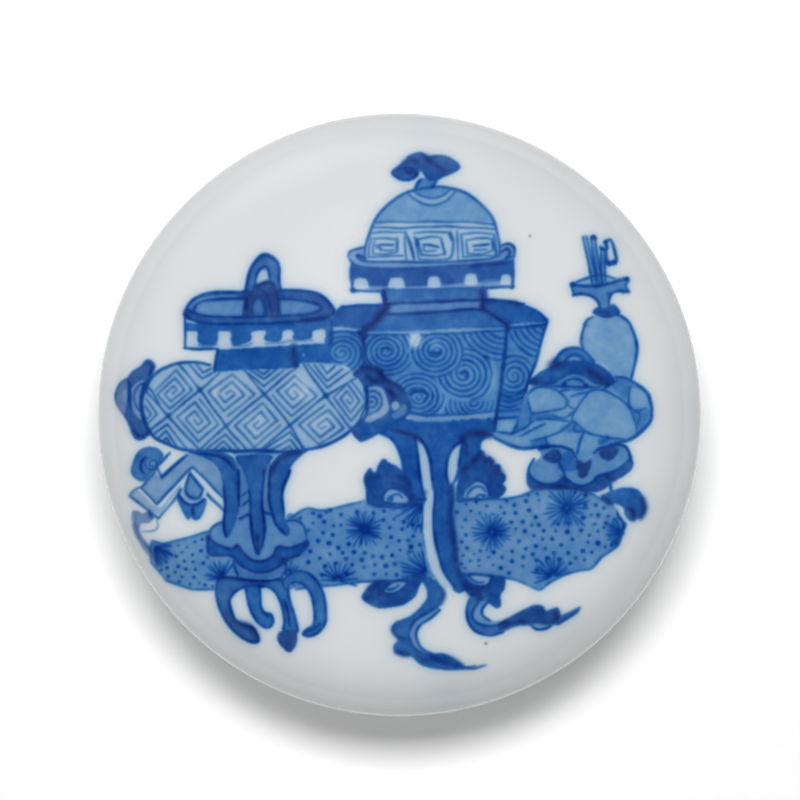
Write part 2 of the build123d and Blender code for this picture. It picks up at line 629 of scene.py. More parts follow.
    def line(self, route: Points, width: float, tone: float, violet: Optional[float] = None,
             taper: Point = (0.75, 0.75)) -> None:
        """Draws a brush line through points, with a hand's sway in place, width and tone.

        Each sample takes the coverage of the nearest stretch: 1 inside its half width,
        falling to 0 over a pixel. A thin line carries more, because the glaze spreads it:
        its middle keeps the share erf(width / (2 root 2 spread)). A violet line is a heap
        of pigment that has spread.

        Args:
            route: the points.
            width: its width at the middle.
            tone: how much cobalt it carries.
            violet: how far its colour leans to violet, or None for the piece's own.
            taper: its width at its start and end, as shares of the width.
        """
        path = self.curve(route)
        count = len(path)
        if count < 2:
            return
        share = np.linspace(0.0, 1.0, count)
        draw = np.random.default_rng(int(10 * abs(path[0]).sum()))
        step = np.arange(count)[:, None]
        sway = np.sin(step / draw.uniform(*self.sway_steps, 4) + draw.uniform(0.0, 6.3, 4))
        path = path + self.sway * sway[:, :2]
        stops = (0.0, self.full_width_from, 1 - self.full_width_from, 1.0)
        widths = width * np.interp(share, stops, (taper[0], 1.0, 1.0, taper[1]))
        widths = widths * (1.0 + self.hand * sway[:, 2])
        kept = math.erf(width / (2 * math.sqrt(2) * self.seen_spread))
        tones = tone * (self.thin_base + self.thin_gain / kept)
        tones = tones * (1.0 + self.hand_tone * self.hand * sway[:, 3])
        rows, columns = self.window(path, 2 * width + 1.5)
        xs = self.xs[columns]
        ys = self.ys[rows]
        amount = np.zeros((len(ys), len(xs)), np.float32)
        reach = width / 2 + 1.2
        for index in range(count - 1):
            (x1, y1), (x2, y2) = path[index], path[index + 1]
            half = widths[index] / 2
            left, right = np.searchsorted(xs, (min(x1, x2) - reach, max(x1, x2) + reach))
            low, high = np.searchsorted(ys, (min(y1, y2) - reach, max(y1, y2) + reach))
            dx = xs[left:right] - x1
            dy = (ys[low:high] - y1)[:, None]
            run_x, run_y = x2 - x1, y2 - y1
            along = np.clip((dx * run_x + dy * run_y) / (run_x**2 + run_y**2 + 1e-9), 0.0, 1.0)
            away = np.sqrt((dx - along * run_x) ** 2 + (dy - along * run_y) ** 2)
            target = amount[low:high, left:right]
            np.maximum(target, np.clip(half + 0.5 - away, 0.0, 1.0) * tones[index], out=target)
        if violet is not None and violet >= self.heap_violet:
            amount = blurred(amount, self.heap_spread * width / self.pitch)
        self.lay(rows, columns, amount, violet, self.line_overlap)

    def lines(self, routes: Sequence[Points], width: float, tone: float, violet: Optional[float] = None,
              taper: Point = (0.75, 0.75)) -> None:
        """Draws several like lines."""
        for route in routes:
            self.line(route, width, tone, violet, taper)

    def dots(self, places: Points, size: float, tone: float, violet: Optional[float] = None) -> None:
        """Sets round dots of a width, each a little larger or paler than the next."""
        for x, y in np.reshape(places, (-1, 2)):
            more, deep = np.random.default_rng(int(10 * (x + 7 * y))).uniform(*self.dot_range, 2)
            self.line(((x - 0.2, y), (x + 0.2, y + 0.1)), size * more, tone * deep, violet, (1.0, 1.0))

    def spiral(self, centre: Point, radius: float, turns: float, width: float, tone: float,
               flat: float = 1.0, start: float = 0.0, inner: float = 1.5) -> None:
        """Draws a spiral whose radius grows evenly with its angle.

        Args:
            centre: its centre.
            radius: its outer radius.
            turns: how many turns it makes, negative the other way.
            width: the line's width.
            tone: how much cobalt it carries.
            flat: its height as a share of its width.
            start: the angle where it begins, in degrees.
            inner: its inner radius.
        """
        share = np.linspace(0, 1, int(abs(turns) * self.round_points) + 2)
        angle = math.radians(start) + share * turns * 2 * math.pi
        reach = inner + (radius - inner) * share
        route = np.stack((centre[0] + reach * np.cos(angle), centre[1] + flat * reach * np.sin(angle)), 1)
        self.line(route, width, tone)

    def arcs(self, centre: Point, radii: Sequence[float], start: float, stop: float, width: float,
             tone: float, flat: float = 1.0) -> None:
        """Draws arcs of several radii round one centre, between two angles in degrees."""
        angle = np.radians(np.linspace(start, stop, self.arc_points))
        for radius in radii:
            route = np.stack((centre[0] + radius * np.cos(angle),
                              centre[1] + flat * radius * np.sin(angle)), 1)
            self.line(route, width, tone)

    def curl(self, centre: Point, radius: float, turns: float, ground: float, tone: float, start: float = 0.0,
             width: float = 2.2, flat: float = 0.9) -> None:
        """Washes a round patch and winds a spiral in it.

        Args:
            centre: its centre.
            radius: its radius.
            turns: how many turns the spiral makes, negative the other way.
            ground: the wash's tone.
            tone: the line's tone.
            start: the angle where the spiral begins, in degrees.
            width: the line's width.
            flat: its height as a share of its width.
        """
        angle = np.linspace(0.0, 2 * math.pi, self.round_points, endpoint=False)
        patch = np.stack((centre[0] + radius * np.cos(angle), centre[1] + flat * radius * np.sin(angle)), 1)
        kept = self.clip
        inside = self.inside(patch)
        self.clip = inside if kept is None else kept & inside
        self.cobalt[self.clip] = 0.0
        self.wash(patch, ground, None, 0.0)
        self.clip = kept
        self.spiral(centre, radius, turns, width, tone, flat, start)

    def fret(self, corners: Points, rounds: int, width: float, tone: float, turn: int = 0,
             flip: bool = False) -> None:
        """Draws a square key fret in a four-cornered cell.

        In the unit square the line goes round inside the border and moves in by one
        gap each time it has gone round; the square is then carried onto the cell by
        mixing its corners.

        Args:
            corners: the cell's four corners, in order.
            rounds: how many times the line goes round.
            width: the line's width.
            tone: how much cobalt it carries.
            turn: which corner it starts from.
            flip: whether it goes round the other way.
        """
        gap = 1.0 / (2 * rounds + 1)
        unit = [(gap, gap)]
        for lap in range(rounds):
            near = gap * (lap + 1)
            far = 1 - near
            unit += [(far, near), (far, far), (near, far), (near, near + gap)]
        square = np.array(unit[:-1])
        if flip:
            square = square[:, ::-1]
        cell = np.roll(np.array(corners, float), -turn, axis=0)
        u = square[:, :1]
        v = square[:, 1:]
        places = cell[0] * (1 - u) * (1 - v) + cell[1] * u * (1 - v) + cell[2] * u * v + cell[3] * (1 - u) * v
        self.line(np.repeat(places, 2, axis=0), width, tone)

    def star(self, centre: Point, reach: float, rays: int, tone: float, start: float = 0.0,
             stop: float = 360.0) -> None:
        """Draws a burst of tapering rays round a dark middle, between two angles."""
        draw = np.random.default_rng(int(centre[0] * 7 + centre[1]))
        for angle in np.radians(np.linspace(start, stop, rays, endpoint=stop - start < 360.0)):
            angle += draw.uniform(-0.08, 0.08)
            near = draw.uniform(2.0, 3.6)
            far = reach * draw.uniform(0.72, 1.05)
            tip = (centre[0] + far * math.cos(angle), centre[1] + far * math.sin(angle))
            root = (centre[0] + near * math.cos(angle), centre[1] + near * math.sin(angle))
            self.line((root, tip), self.ray_width, tone, taper=self.ray_taper)
        self.dots(centre, self.ray_heart, tone)

    def fired(self) -> None:
        """Softens the brushwork as glaze does: pigment creeps, clouds and lies unevenly.

        Where little pigment is left its blue is greyer, by e to the power of minus it.
        """
        draw = np.random.default_rng(self.seed)
        noise = draw.standard_normal(self.cobalt.shape).astype(np.float32)
        uneven = np.ones_like(noise)
        for grain, amount in self.mottle:
            layer = blurred(noise, grain / self.pitch)
            uneven += amount * layer / layer.std()
        laid = self.cobalt * np.clip(uneven, *self.mottle_limits)
        core = blurred(laid, self.spread / self.pitch)
        kept = 1.0 - self.halo_share - self.haze_share
        self.cobalt = kept * core + self.halo_share * blurred(laid, self.halo / self.pitch)
        self.haze = self.haze_share * blurred(laid, self.haze_spread / self.pitch)
        self.violet = blurred(self.violet * laid, self.spread / self.pitch) / np.maximum(core, 0.1)
        self.violet += self.grey_thin * np.exp(-self.cobalt)


def blurred(values: np.ndarray, sigma: float) -> np.ndarray:
    """Blurs a field with a bell curve of a width, in samples, by Fourier transform."""
    margin = int(3 * sigma) + 1
    padded = np.pad(values, margin, mode="edge")
    rows = np.fft.fftfreq(padded.shape[0])[:, None]
    columns = np.fft.rfftfreq(padded.shape[1])[None, :]
    passed = np.exp(-2 * (math.pi * sigma) ** 2 * (rows**2 + columns**2))
    result = np.fft.irfft2(np.fft.rfft2(padded) * passed, s=padded.shape)
    return result[margin:-margin, margin:-margin].astype(np.float32)


# The painted treasures

def paint_chime(brush: Brushwork) -> None:
    """Paints the stone chime on its cloud knot, with its pendant and violet ribbon."""
    brush.start("painted_chime", 0.3)
    ribbon = (149, 511, 143, 514, 137, 511, 132, 513, 134, 532, 148, 555, 162, 566, 166, 556, 156, 550,
        147, 543, 141, 535, 139, 527, 142, 523, 148, 523, 153, 518)
    brush.wash(ribbon, 1.65, 0.85, 0.25)
    brush.line((136, 514, 135, 524, 139, 536, 147, 547, 157, 556), 2.2, 2.3, 0.9)
    brush.line((149, 511, 152, 517), 4, Tone.FULL, 0.4)
    brush.line((157, 520, 158, 527, 152, 531, 142, 531), 1.6, 1)
    body = (141, 488, 141, 488, 155, 473, 155, 473, 161, 478, 161, 478, 186, 456, 203, 457, 213, 464,
        220, 474, 224, 487, 225, 499, 225, 499, 193, 468, 193, 468, 180, 480, 157, 505, 157, 505)
    brush.wash(body, 1.5, 0.35)
    rims = ((141, 488, 157, 504, 157, 504, 180, 479, 193, 467, 193, 467, 226, 500), (157, 467, 162, 478,
        162, 478, 186, 456), (170, 453, 163, 460, 157, 466), (141, 488, 148, 480, 155, 472))
    brush.lines(rims, 2, 3)
    brush.line((161, 477, 174, 466, 187, 455), 2.4, Tone.DEEP)
    borders = ((141, 487, 135, 490, 130, 496, 130, 496, 144, 507, 158, 518, 158, 518, 170, 505, 180, 493,
        188, 480), (191, 475, 201, 486, 212, 499, 225, 512))
    brush.lines(borders, 2, 2.3, 0.35)
    brush.line(borders[1], 2.4, 2.9)
    brush.wash((131, 496, 137, 490, 158, 507, 172, 494, 186, 480, 170, 500, 158, 514), 0.95, 0.5)
    knot = (162, 459, 163, 454, 158, 449, 150, 447, 142, 449, 136, 455, 131, 470, 134, 477, 140, 481,
        146, 480, 151, 473, 157, 470, 158, 464)
    brush.wash(knot, 3.2, 0.2, 0.3)
    brush.reserve((144, 464, 147, 460, 153, 459, 157, 463, 155, 468, 149, 469), 0.6)
    brush.spiral((152, 464), 7, 1.6, 1.8, 2.8, start=40)
    brush.line((146, 457, 141, 463, 141, 470, 144, 474), 1.8, Tone.DARK)
    brush.reserve((180, 489, 190, 474, 206, 490, 203, 500, 193, 506, 184, 502))
    tassel = (178, 493, 178, 501, 187, 519, 191, 517, 195, 520, 200, 518, 205, 508, 206, 499, 196, 504,
        188, 504, 182, 499)
    brush.wash(tassel, 3.6, 0.15, 0.25)
    brush.line((180, 496, 184, 502, 190, 505, 197, 504, 204, 499), 2.2, Tone.DARK)
    brush.line((193, 508, 193, 515), 3, Tone.DARK, 0.5)
    brush.wash((190, 476, 202, 490, 199, 497, 192, 499, 187, 495, 187, 480), 1.9, 0.25)
    brush.lines(((190, 473, 186, 488, 188, 495, 193, 498, 199, 497, 202, 491), (190, 474, 196, 481,
        203, 489), (181, 489, 179, 494)), 2.8, Tone.FULL)
    brush.wash((182, 490, 185, 499, 192, 503, 200, 500, 204, 494, 203, 492, 199, 498, 191, 500, 186, 496,
        184, 489), 0.8)


def paint_censer(brush: Brushwork) -> None:
    """Paints the footed censer: lid with a strap handle, fret body and two handles."""
    brush.start("painted_censer", 0.3)
    loop = (244, 293, 249, 273, 260, 256, 273, 256, 280, 274, 280, 284, 282, 292, 282, 300, 244, 300)
    brush.wash(loop, 3.1, 0.4, 0.3)
    brush.line((245, 291, 251, 270, 263, 255, 275, 260, 279, 269, 279, 280, 281, 291), 3, 3.9)
    brush.reserve((257, 284, 260, 271, 267, 271, 270, 283), 0.12)
    brush.line((255, 285, 256, 276, 259, 270, 264, 267, 268, 269, 271, 283), 2.6, 3.9)
    ring = (184, 312, 195, 299, 226, 292, 281, 290, 317, 294, 334, 308, 333, 316, 322, 320, 300, 323,
        220, 325, 196, 322, 186, 318)
    brush.wash(ring, 3.55, 0.4, 0.15)
    brush.reserve((188, 306, 195, 300, 210, 296, 232, 295, 236, 297, 212, 299, 198, 302, 190, 310), 0.55)
    for opening, tone in (((195, 310, 198, 304, 222, 300, 240, 300, 246, 301, 244, 315, 222, 316, 205, 315,
            197, 313), 1.95), ((279, 301, 292, 300, 317, 305, 321, 308, 316, 311, 300, 313, 278, 314),
            2.2)):
        brush.over(opening, tone, 0.24)
    brush.lines(((185, 311, 190, 303, 198, 297, 212, 293, 245, 292), (281, 290, 315, 293, 333, 308,
        333, 314), (194, 311, 196, 305, 203, 301, 218, 299, 246, 299), (278, 299, 300, 300, 314, 303,
        322, 308, 316, 312, 300, 315, 278, 316), (187, 308, 192, 312, 216, 317, 290, 316), (185, 314,
        192, 320, 206, 323, 240, 324, 310, 321, 330, 317)), 2.6, 4.1, 0.25)
    brush.line((300, 320, 318, 318, 330, 315), 3.5, Tone.DARK, 0.8)
    brush.line((186, 312, 189, 317), 5, Tone.DARK, 0.7)
    battlements = (186, 323, 186, 323, 186, 330, 196, 331, 198, 333, 198, 341, 202, 345, 213, 345, 217, 342,
        218, 333, 220, 331, 229, 331, 231, 334, 233, 345, 250, 341, 252, 332, 264, 330, 266, 333, 265, 340,
        280, 341, 282, 333, 285, 330, 292, 330, 294, 333, 294, 339, 311, 338, 313, 331, 323, 329, 326, 333,
        325, 343, 330, 346, 333, 340, 333, 318, 333, 318, 300, 323, 240, 325)
    brush.wash(battlements, 3.75, 0.08, 0.2)
    brush.wash((187, 331, 197, 332, 198, 342, 202, 347, 215, 346, 218, 333, 229, 332, 231, 346, 250, 344,
        254, 331, 265, 331, 266, 343, 282, 342, 284, 331, 293, 331, 295, 341, 312, 340, 315, 330, 324, 330,
        325, 343, 285, 345, 230, 348, 187, 348), 0.25, 0.4, 0)
    brush.lines(((198, 345, 207, 347, 217, 345), (232, 346, 244, 346, 252, 343), (266, 343, 280, 343,
        292, 341, 312, 340)), 2.4, 1.3, 0.3)
    brush.lines(((185, 314, 185, 330, 185, 348), (184, 348, 200, 349, 218, 349)), 2, 3.4)
    neck = (217, 350, 217, 350, 332, 343, 332, 343, 331, 353, 332, 363, 332, 363, 300, 363, 298, 367,
        270, 369, 240, 370, 214, 373, 214, 373)
    brush.over(neck, 4.3, 0.04, 0.12)
    brush.line((294, 345, 294, 356, 295, 367), 6, 4.2, 0.8)
    brush.line((218, 350, 216, 361, 214, 371), 2.5, Tone.DARK, 0.4)
    brush.reserve((302, 354, 304, 353, 305, 356, 303, 357), 0.35)
    strap = (243, 316, 244, 305, 254, 288, 263, 283, 271, 283, 276, 290, 280, 316, 266, 316, 266, 304,
        262, 297, 257, 299, 253, 307, 253, 316)
    brush.reserve(strap, 0.5)
    brush.wash(strap, 3.2, 0.95, 0.15)
    brush.lines(((254, 287, 271, 283, 278, 300, 279, 314), (246, 312, 246, 302, 250, 294), (262, 290,
        268, 296, 272, 315)), 3.4, Tone.DARK, 0.9)
    brush.reserve((254, 314, 254, 304, 258, 299, 262, 303, 262, 314))
    brush.wash((254, 314, 254, 304, 258, 299, 262, 303, 262, 314), 2.4, 0.4)
    brush.line((264, 300, 265, 308, 265, 314), 3, 3.7)
    body = (143, 412, 142, 400, 145, 389, 151, 379, 158, 372, 168, 367, 180, 363, 196, 362, 210, 365,
        215, 371, 240, 370, 270, 369, 298, 367, 301, 363, 331, 364, 346, 368, 357, 376, 364, 387, 367, 400,
        364, 412, 359, 422, 350, 431, 338, 439, 322, 446, 304, 450, 285, 452, 255, 451, 225, 451, 200, 451,
        182, 449, 166, 443, 154, 437, 147, 427)
    brush.over(body, 0.85, 0.2, 0.12)
    brush.clip = brush.inside(body)
    left, low_left, mid_left, high_left = (147, 392), (168, 416), (200, 390), (177, 362)
    bottom_left, low, mid, high = (199, 450), (226, 426), (264, 394), (233, 367)
    bottom, low_right, mid_right, high_right = (252, 456), (290, 425), (326, 396), (295, 368)
    bottom_right, far_low, far_right = (318, 452), (352, 430), (372, 402)
    frets = (((high_left, mid_left, low_left, left), 3, False), ((mid_left, low, bottom_left, low_left), 0,
        False), ((high, mid, low, mid_left), 2, True), ((mid, low_right, bottom, low), 1, False),
        ((high_right, mid_right, low_right, mid), 3, True), ((mid_right, far_low, bottom_right, low_right),
        0, True), ((mid_right, (351, 372), far_right, far_low), 1, False))
    for corners, turn, flip in frets:
        brush.fret(corners, 3, 2.2, 2.15, turn, flip)
    for x, y, reach, keep in ((236, 386, 9, 0.8), (215, 393, 5, 0.6), (258, 424, 12, 0.78), (297, 388,
            12, 0.72), (306, 396, 7, 0.8), (322, 423, 9, 0.85), (197, 425, 7, 0.85), (327, 372, 6, 0.7)):
        brush.reserve((x - reach, y, x, y - reach, x + reach, y, x, y + reach), keep)
    vees = ((188, 362, 202, 379, 216, 371), (194, 362, 203, 373, 212, 368), (243, 370, 264, 386, 284, 370),
        (250, 370, 264, 379, 277, 369), (257, 370, 264, 374, 270, 369), (308, 364, 327, 388, 350, 371),
        (314, 364, 327, 381, 343, 369), (320, 364, 327, 374, 335, 366), (206, 450, 225, 434, 240, 451),
        (212, 451, 224, 441, 233, 451), (218, 451, 223, 447, 228, 451), (262, 451, 290, 432, 306, 450),
        (270, 451, 290, 439, 299, 451), (278, 452, 290, 446, 294, 452), (150, 437, 167, 424, 187, 449),
        (156, 440, 166, 431, 179, 449), (161, 443, 166, 438, 172, 446), (146, 399, 157, 414, 148, 424),
        (145, 406, 151, 414, 146, 419), (146, 385, 152, 392, 160, 405))
    brush.lines(tuple(vee[:4] + vee[2:] for vee in vees), 1.8, 2.5)
    borders = ((left, low_left, bottom_left), (high_left, mid_left, low, bottom), ((245, 370), mid,
        low_right, (304, 452)), ((302, 362), mid_right, far_low), ((148, 432), low_left, mid_left,
        (220, 373)), ((197, 452), low, mid, (297, 367)), ((258, 452), low_right, mid_right, (360, 376)))
    brush.lines(borders, 2.1, 2.6)
    brush.dots((low_left, mid_left, low, mid, low_right, mid_right), 4.5, 3.4)
    brush.clip = None
    brush.line(body[:18], 2.4, 3.4)
    brush.line(body[34:] + body[:4], 2.6, 3.5)
    brush.wash((233, 454, 246, 451, 276, 452, 281, 454, 272, 457, 256, 455, 240, 457), 1.3, 0.3, 0)
    brush.line((233, 452, 255, 450, 279, 451), 2, 3.3)


def paint_censer_handles(brush: Brushwork) -> None:
    """Paints the scrolled handles at both ends of the censer."""
    brush.start("painted_censer_handles", 0.45)
    left = (155, 367, 152, 361, 146, 360, 141, 366, 133, 371, 127, 378, 119, 384, 115, 400, 127, 421,
        133, 436, 138, 440, 144, 439, 148, 436, 152, 434, 150, 428, 146, 422, 142, 400, 150, 380)
    brush.over(left, 3.55, 0.55, 0.2)
    brush.reserve((126, 380, 119, 386, 116, 395, 118, 407, 125, 415, 128, 388), 0)
    brush.wash((128, 379, 119, 385, 115, 396, 118, 408, 126, 416, 129, 400), 2, 0.85, 0.25)
    brush.reserve((123, 392, 126, 389, 128, 393, 127, 402, 124, 401), 0.6)
    brush.line((129, 382, 131, 412, 134, 418), 3.4, 3.7, 0.3)
    brush.lines(((142, 367, 147, 363, 152, 366, 147, 384, 146, 392), (131, 422, 135, 432, 141, 436,
        150, 432)), 3, 4.2, 0.6)
    crescent = (144, 380, 132, 388, 133, 409, 142, 420, 141, 398)
    brush.over(crescent, 1.15, 0.6, 0.1)
    brush.line((144, 383, 138, 386, 134, 394, 135, 403, 139, 410, 142, 410), 1.8, 2.6, 0.4)
    brush.line((144, 384, 141, 406, 147, 428, 152, 435), 3.2, 4.2, 0.4)
    right = (353, 374, 366, 365, 376, 365, 383, 370, 385, 377, 402, 387, 411, 403, 410, 412, 404, 419,
        391, 424, 388, 430, 380, 433, 364, 441, 358, 440, 351, 429, 358, 422, 366, 400, 363, 386, 358, 378)
    brush.over(right, 4, 0.45, 0.15)
    brush.lines(((356, 372, 366, 368, 378, 370, 384, 378, 402, 389), (365, 372, 370, 380, 382, 381),
        (388, 388, 393, 396, 392, 404)), 5, 4.2, 1)
    brush.wash((360, 425, 372, 429, 384, 426, 390, 418, 392, 412, 402, 413, 400, 418, 392, 421, 388, 428,
        366, 435), 3.5, 0)
    disc = (366, 391, 370, 387, 377, 386, 384, 390, 389, 406, 386, 414, 372, 422, 364, 421, 362, 417,
        366, 408, 367, 399)
    brush.over(disc, 1, 0.6, 0.05)
    brush.wash((368, 391, 374, 389, 380, 393, 383, 401, 381, 409, 366, 415, 367, 402), 1.5, 0.2)
    brush.lines(((368, 392, 374, 391, 380, 395, 382, 402, 379, 409, 367, 415), (369, 397, 374, 397,
        377, 402, 374, 407, 368, 408), (369, 402, 373, 402)), 1.7, 2.6)
    brush.line((367, 386, 367, 410, 363, 420), 2.6, 3.6)
    brush.reserve((391, 405, 394, 401, 398, 402, 400, 406, 397, 410, 393, 410), 0)
    brush.wash((391, 405, 394, 401, 398, 402, 400, 406, 397, 410, 393, 410), 0.8, 0.6)
    brush.reserve((391, 415, 397, 411, 404, 404, 407, 408, 404, 415, 396, 419), 0.5)


def paint_censer_legs(brush: Brushwork) -> None:
    """Paints the censer's three legs and the lobed stand under them."""
    brush.start("painted_stand", 0.35)
    stand = (209, 536, 211, 529, 225, 521, 236, 520, 247, 514, 258, 511, 270, 514, 278, 520, 297, 521,
        304, 527, 308, 545, 303, 552, 286, 562, 285, 571, 278, 577, 262, 581, 246, 579, 237, 575, 234, 567,
        233, 556, 209, 555)
    brush.over(stand, 1.95, 0.22, 0.1)
    band = (207, 536, 213, 542, 222, 547, 233, 548, 237, 544, 247, 556, 262, 561, 276, 552, 277, 547,
        284, 548, 301, 544, 306, 538, 309, 543, 306, 550, 298, 556, 289, 559, 272, 570, 252, 571, 242, 566,
        230, 555, 220, 556, 208, 554)
    brush.wash(band, 3.9, 0.1, 0.12)
    brush.lines(((209, 538, 218, 545, 232, 549, 238, 545, 243, 552, 252, 560, 263, 561, 273, 556, 278, 547,
        290, 548, 302, 543), (210, 555, 231, 556, 240, 565, 252, 571, 264, 572, 276, 568, 287, 560,
        300, 555), (208, 535, 208, 553)), 2.2, Tone.DARK, 0.5)
    brush.dots((209, 537, 236, 547, 284, 561, 306, 545), 6, Tone.DARK, 0.8)
    brush.lines(((209, 535, 211, 529, 217, 524, 225, 521), (239, 519, 258, 511, 270, 514), (287, 521,
        297, 521, 304, 527, 307, 536)), 2.1, 3.3)
    brush.wash((235, 561, 243, 569, 255, 573, 270, 572, 283, 565, 285, 570, 278, 576, 262, 580, 246, 578,
        237, 573), 1.9, 0.35, 0.05)
    brush.lines(((234, 560, 235, 568, 238, 576), (285, 561, 286, 570, 282, 576)), 2.2, 3.6)
    legs = (((216, 590, 218, 581, 224, 577, 238, 578, 252, 581, 275, 581, 264, 586, 250, 586, 240, 589,
        233, 594, 229, 601, 231, 610, 235, 619, 241, 624, 248, 626, 253, 628, 257, 635, 258, 641, 252, 642,
        243, 638, 234, 631, 226, 621, 220, 609, 217, 598), 3.5, 0.35), ((245, 586, 258, 586, 260, 597,
        261, 607, 265, 613, 271, 615, 273, 621, 270, 627, 264, 627, 257, 621, 252, 612, 248, 600), 3.5,
        0.12), ((258, 585, 267, 587, 275, 592, 280, 600, 283, 611, 285, 622, 284, 630, 297, 632, 296, 621,
        292, 609, 289, 597, 287, 586, 284, 580, 270, 581), 3.5, 0.12), ((282, 582, 288, 575, 297, 571,
        307, 573, 315, 579, 321, 588, 325, 600, 326, 613, 325, 623, 318, 632, 309, 636, 303, 634, 308, 629,
        313, 626, 315, 618, 314, 606, 311, 595, 305, 586, 297, 582, 290, 584, 287, 590), 3.3, 0.2))
    for outline, tone, violet in legs:
        brush.over(outline, tone, violet, 0.25, 3.9, 2)
    toe = (279, 633, 287, 630, 296, 631, 297, 640, 294, 648, 288, 652, 278, 641)
    brush.over(toe, 3.85, 0.7, 0.1)
    brush.lines(((226, 612, 232, 622, 240, 630), (238, 623, 247, 626, 253, 632, 257, 640)), 5, 3.1, 1)
    brush.line((240, 625, 248, 629), 4, 4.2, 0.9)
    brush.line((305, 632, 313, 629, 320, 624), 4.5, 3.9, 0.3)
    brush.lines(((222, 578, 236, 578, 250, 581, 268, 581, 282, 577), (262, 612, 268, 617), (284, 600,
        288, 612, 290, 626)), 2.6, 4.2, 0.4)
    brush.start("painted_censer_legs", 0.15)
    legs = ((188, 452, 204, 450, 220, 452, 232, 457, 236, 465, 238, 476, 239, 492, 239, 508, 236, 521,
        231, 532, 227, 538, 224, 534, 224, 520, 225, 504, 224, 489, 221, 475, 216, 466, 208, 459, 197, 455),
        (236, 457, 250, 455, 262, 454, 273, 457, 268, 464, 265, 473, 263, 486, 262, 502, 264, 518, 265, 532,
        263, 545, 259, 555, 255, 552, 252, 540, 250, 522, 249, 500, 247, 483, 242, 468), (307, 450,
        299, 457, 292, 465, 287, 475, 283, 487, 282, 499, 283, 512, 287, 524, 290, 531, 287, 536, 281, 533,
        275, 524, 271, 512, 269, 498, 269, 484, 270, 471, 273, 462, 281, 454, 294, 451))
    brush.wash((236, 458, 249, 480, 250, 512, 239, 519, 238, 480), 1.9, 0.45, 0)
    brush.wash((265, 470, 271, 463, 270, 500, 272, 514, 263, 512, 263, 488), 1.75, 0.6, 0)
    for outline in legs:
        brush.over(outline, 3.75, 0.2, 0.3)
    brush.lines(((196, 453, 212, 455, 226, 460, 235, 470), (224, 486, 225, 506, 224, 524, 226, 536),
        (238, 470, 239, 490, 239, 506), (249, 490, 253, 540, 258, 553), (264, 470, 262, 505, 265, 530,
        262, 546), (271, 466, 269, 484, 270, 505, 276, 524, 286, 534), (290, 470, 284, 486, 282, 500,
        284, 516)), 2.2, 4.5, 0.35)
    brush.lines(((300, 452, 286, 456, 276, 464, 272, 474), (257, 535, 258, 550)), 4.5, 4.2, 0.85)
    brush.lines(((242, 496, 247, 492), (242, 506, 249, 500), (240, 519, 249, 513), (262, 512, 272, 515)),
        2.6, 3.5)


def paint_scroll_left(brush: Brushwork) -> None:
    """Paints the dotted scroll that lies behind the stand, as far as the tall vase."""
    brush.start("painted_scroll_left", 0.12)
    left = (152, 541, 163, 544, 176, 541, 190, 537, 206, 532, 222, 530, 290, 530, 290, 560, 236, 586,
        236, 588, 218, 589, 192, 589, 192, 589, 167, 581, 167, 581, 151, 562, 151, 562, 150, 549)
    middle = (286, 520, 296, 514, 306, 510, 322, 510, 352, 504, 366, 500, 384, 506, 408, 503, 424, 504,
        423, 525, 425, 545, 437, 578, 437, 578, 410, 579, 396, 582, 376, 582, 312, 586, 296, 588, 286, 583)
    for outline, tone in ((left, 1.85), (middle, 2)):
        brush.wash(outline, tone, 0.22, 0.12)
    brush.wash((152, 541, 163, 545, 170, 552, 160, 566, 152, 562, 149, 552), 1, 1, 0)
    brush.lines((left[:12], left[18:] + left[:2], (288, 520, 306, 509, 325, 510, 362, 502), (420, 575,
        408, 577, 396, 581, 372, 581, 296, 589)), 2, 2.7)
    brush.line((424, 505, 425, 545, 438, 580), 2.4, 3.2)
    bursts = (((154, 546), 23, 13, 0, 85), ((222, 578), 19, 10, 170, 305), ((364, 529), 20, 26, 0, 360),
        ((285, 545), 19, 9, -60, 75), ((424, 503), 33, 12, 95, 172), ((427, 573), 29, 11, 168, 262),
        ((338, 580), 22, 11, 180, 375), ((287, 574), 16, 8, -70, 60))
    for centre, reach, rays, start, stop in bursts:
        brush.star(centre, reach, rays, 3.1, start, stop)
    small = (178, 545, 187, 547, 195, 542, 202, 539, 182, 552, 201, 551, 193, 555, 166, 562, 176, 556,
        184, 561, 193, 562, 178, 566, 203, 563, 186, 569, 195, 569, 167, 568, 161, 570, 175, 572, 168, 576,
        182, 577, 194, 577, 190, 584, 205, 585, 207, 557, 199, 583, 179, 582, 212, 546, 213, 586, 227, 586)
    large = (300, 518, 320, 516, 326, 512, 341, 515, 313, 523, 324, 522, 334, 526, 308, 530, 323, 533,
        333, 535, 341, 525, 318, 541, 329, 543, 338, 548, 349, 544, 330, 554, 343, 553, 320, 558, 310, 551,
        346, 559, 308, 562, 325, 566, 336, 563, 304, 540, 300, 573, 312, 577, 305, 583, 322, 575, 373, 513,
        384, 511, 383, 520, 394, 519, 404, 522, 390, 528, 402, 529, 413, 525, 413, 536, 391, 537, 399, 541,
        408, 540, 387, 547, 400, 550, 411, 547, 365, 553, 354, 552, 373, 556, 382, 557, 392, 555, 409, 552,
        362, 560, 375, 565, 364, 567, 352, 565, 386, 566, 395, 564, 374, 574, 386, 574, 397, 575, 420, 545,
        347, 573, 357, 512, 419, 526, 330, 510, 313, 513)
    brush.dots(small, 2.9, 4.3)
    brush.dots(large, 3.7, 4.3)


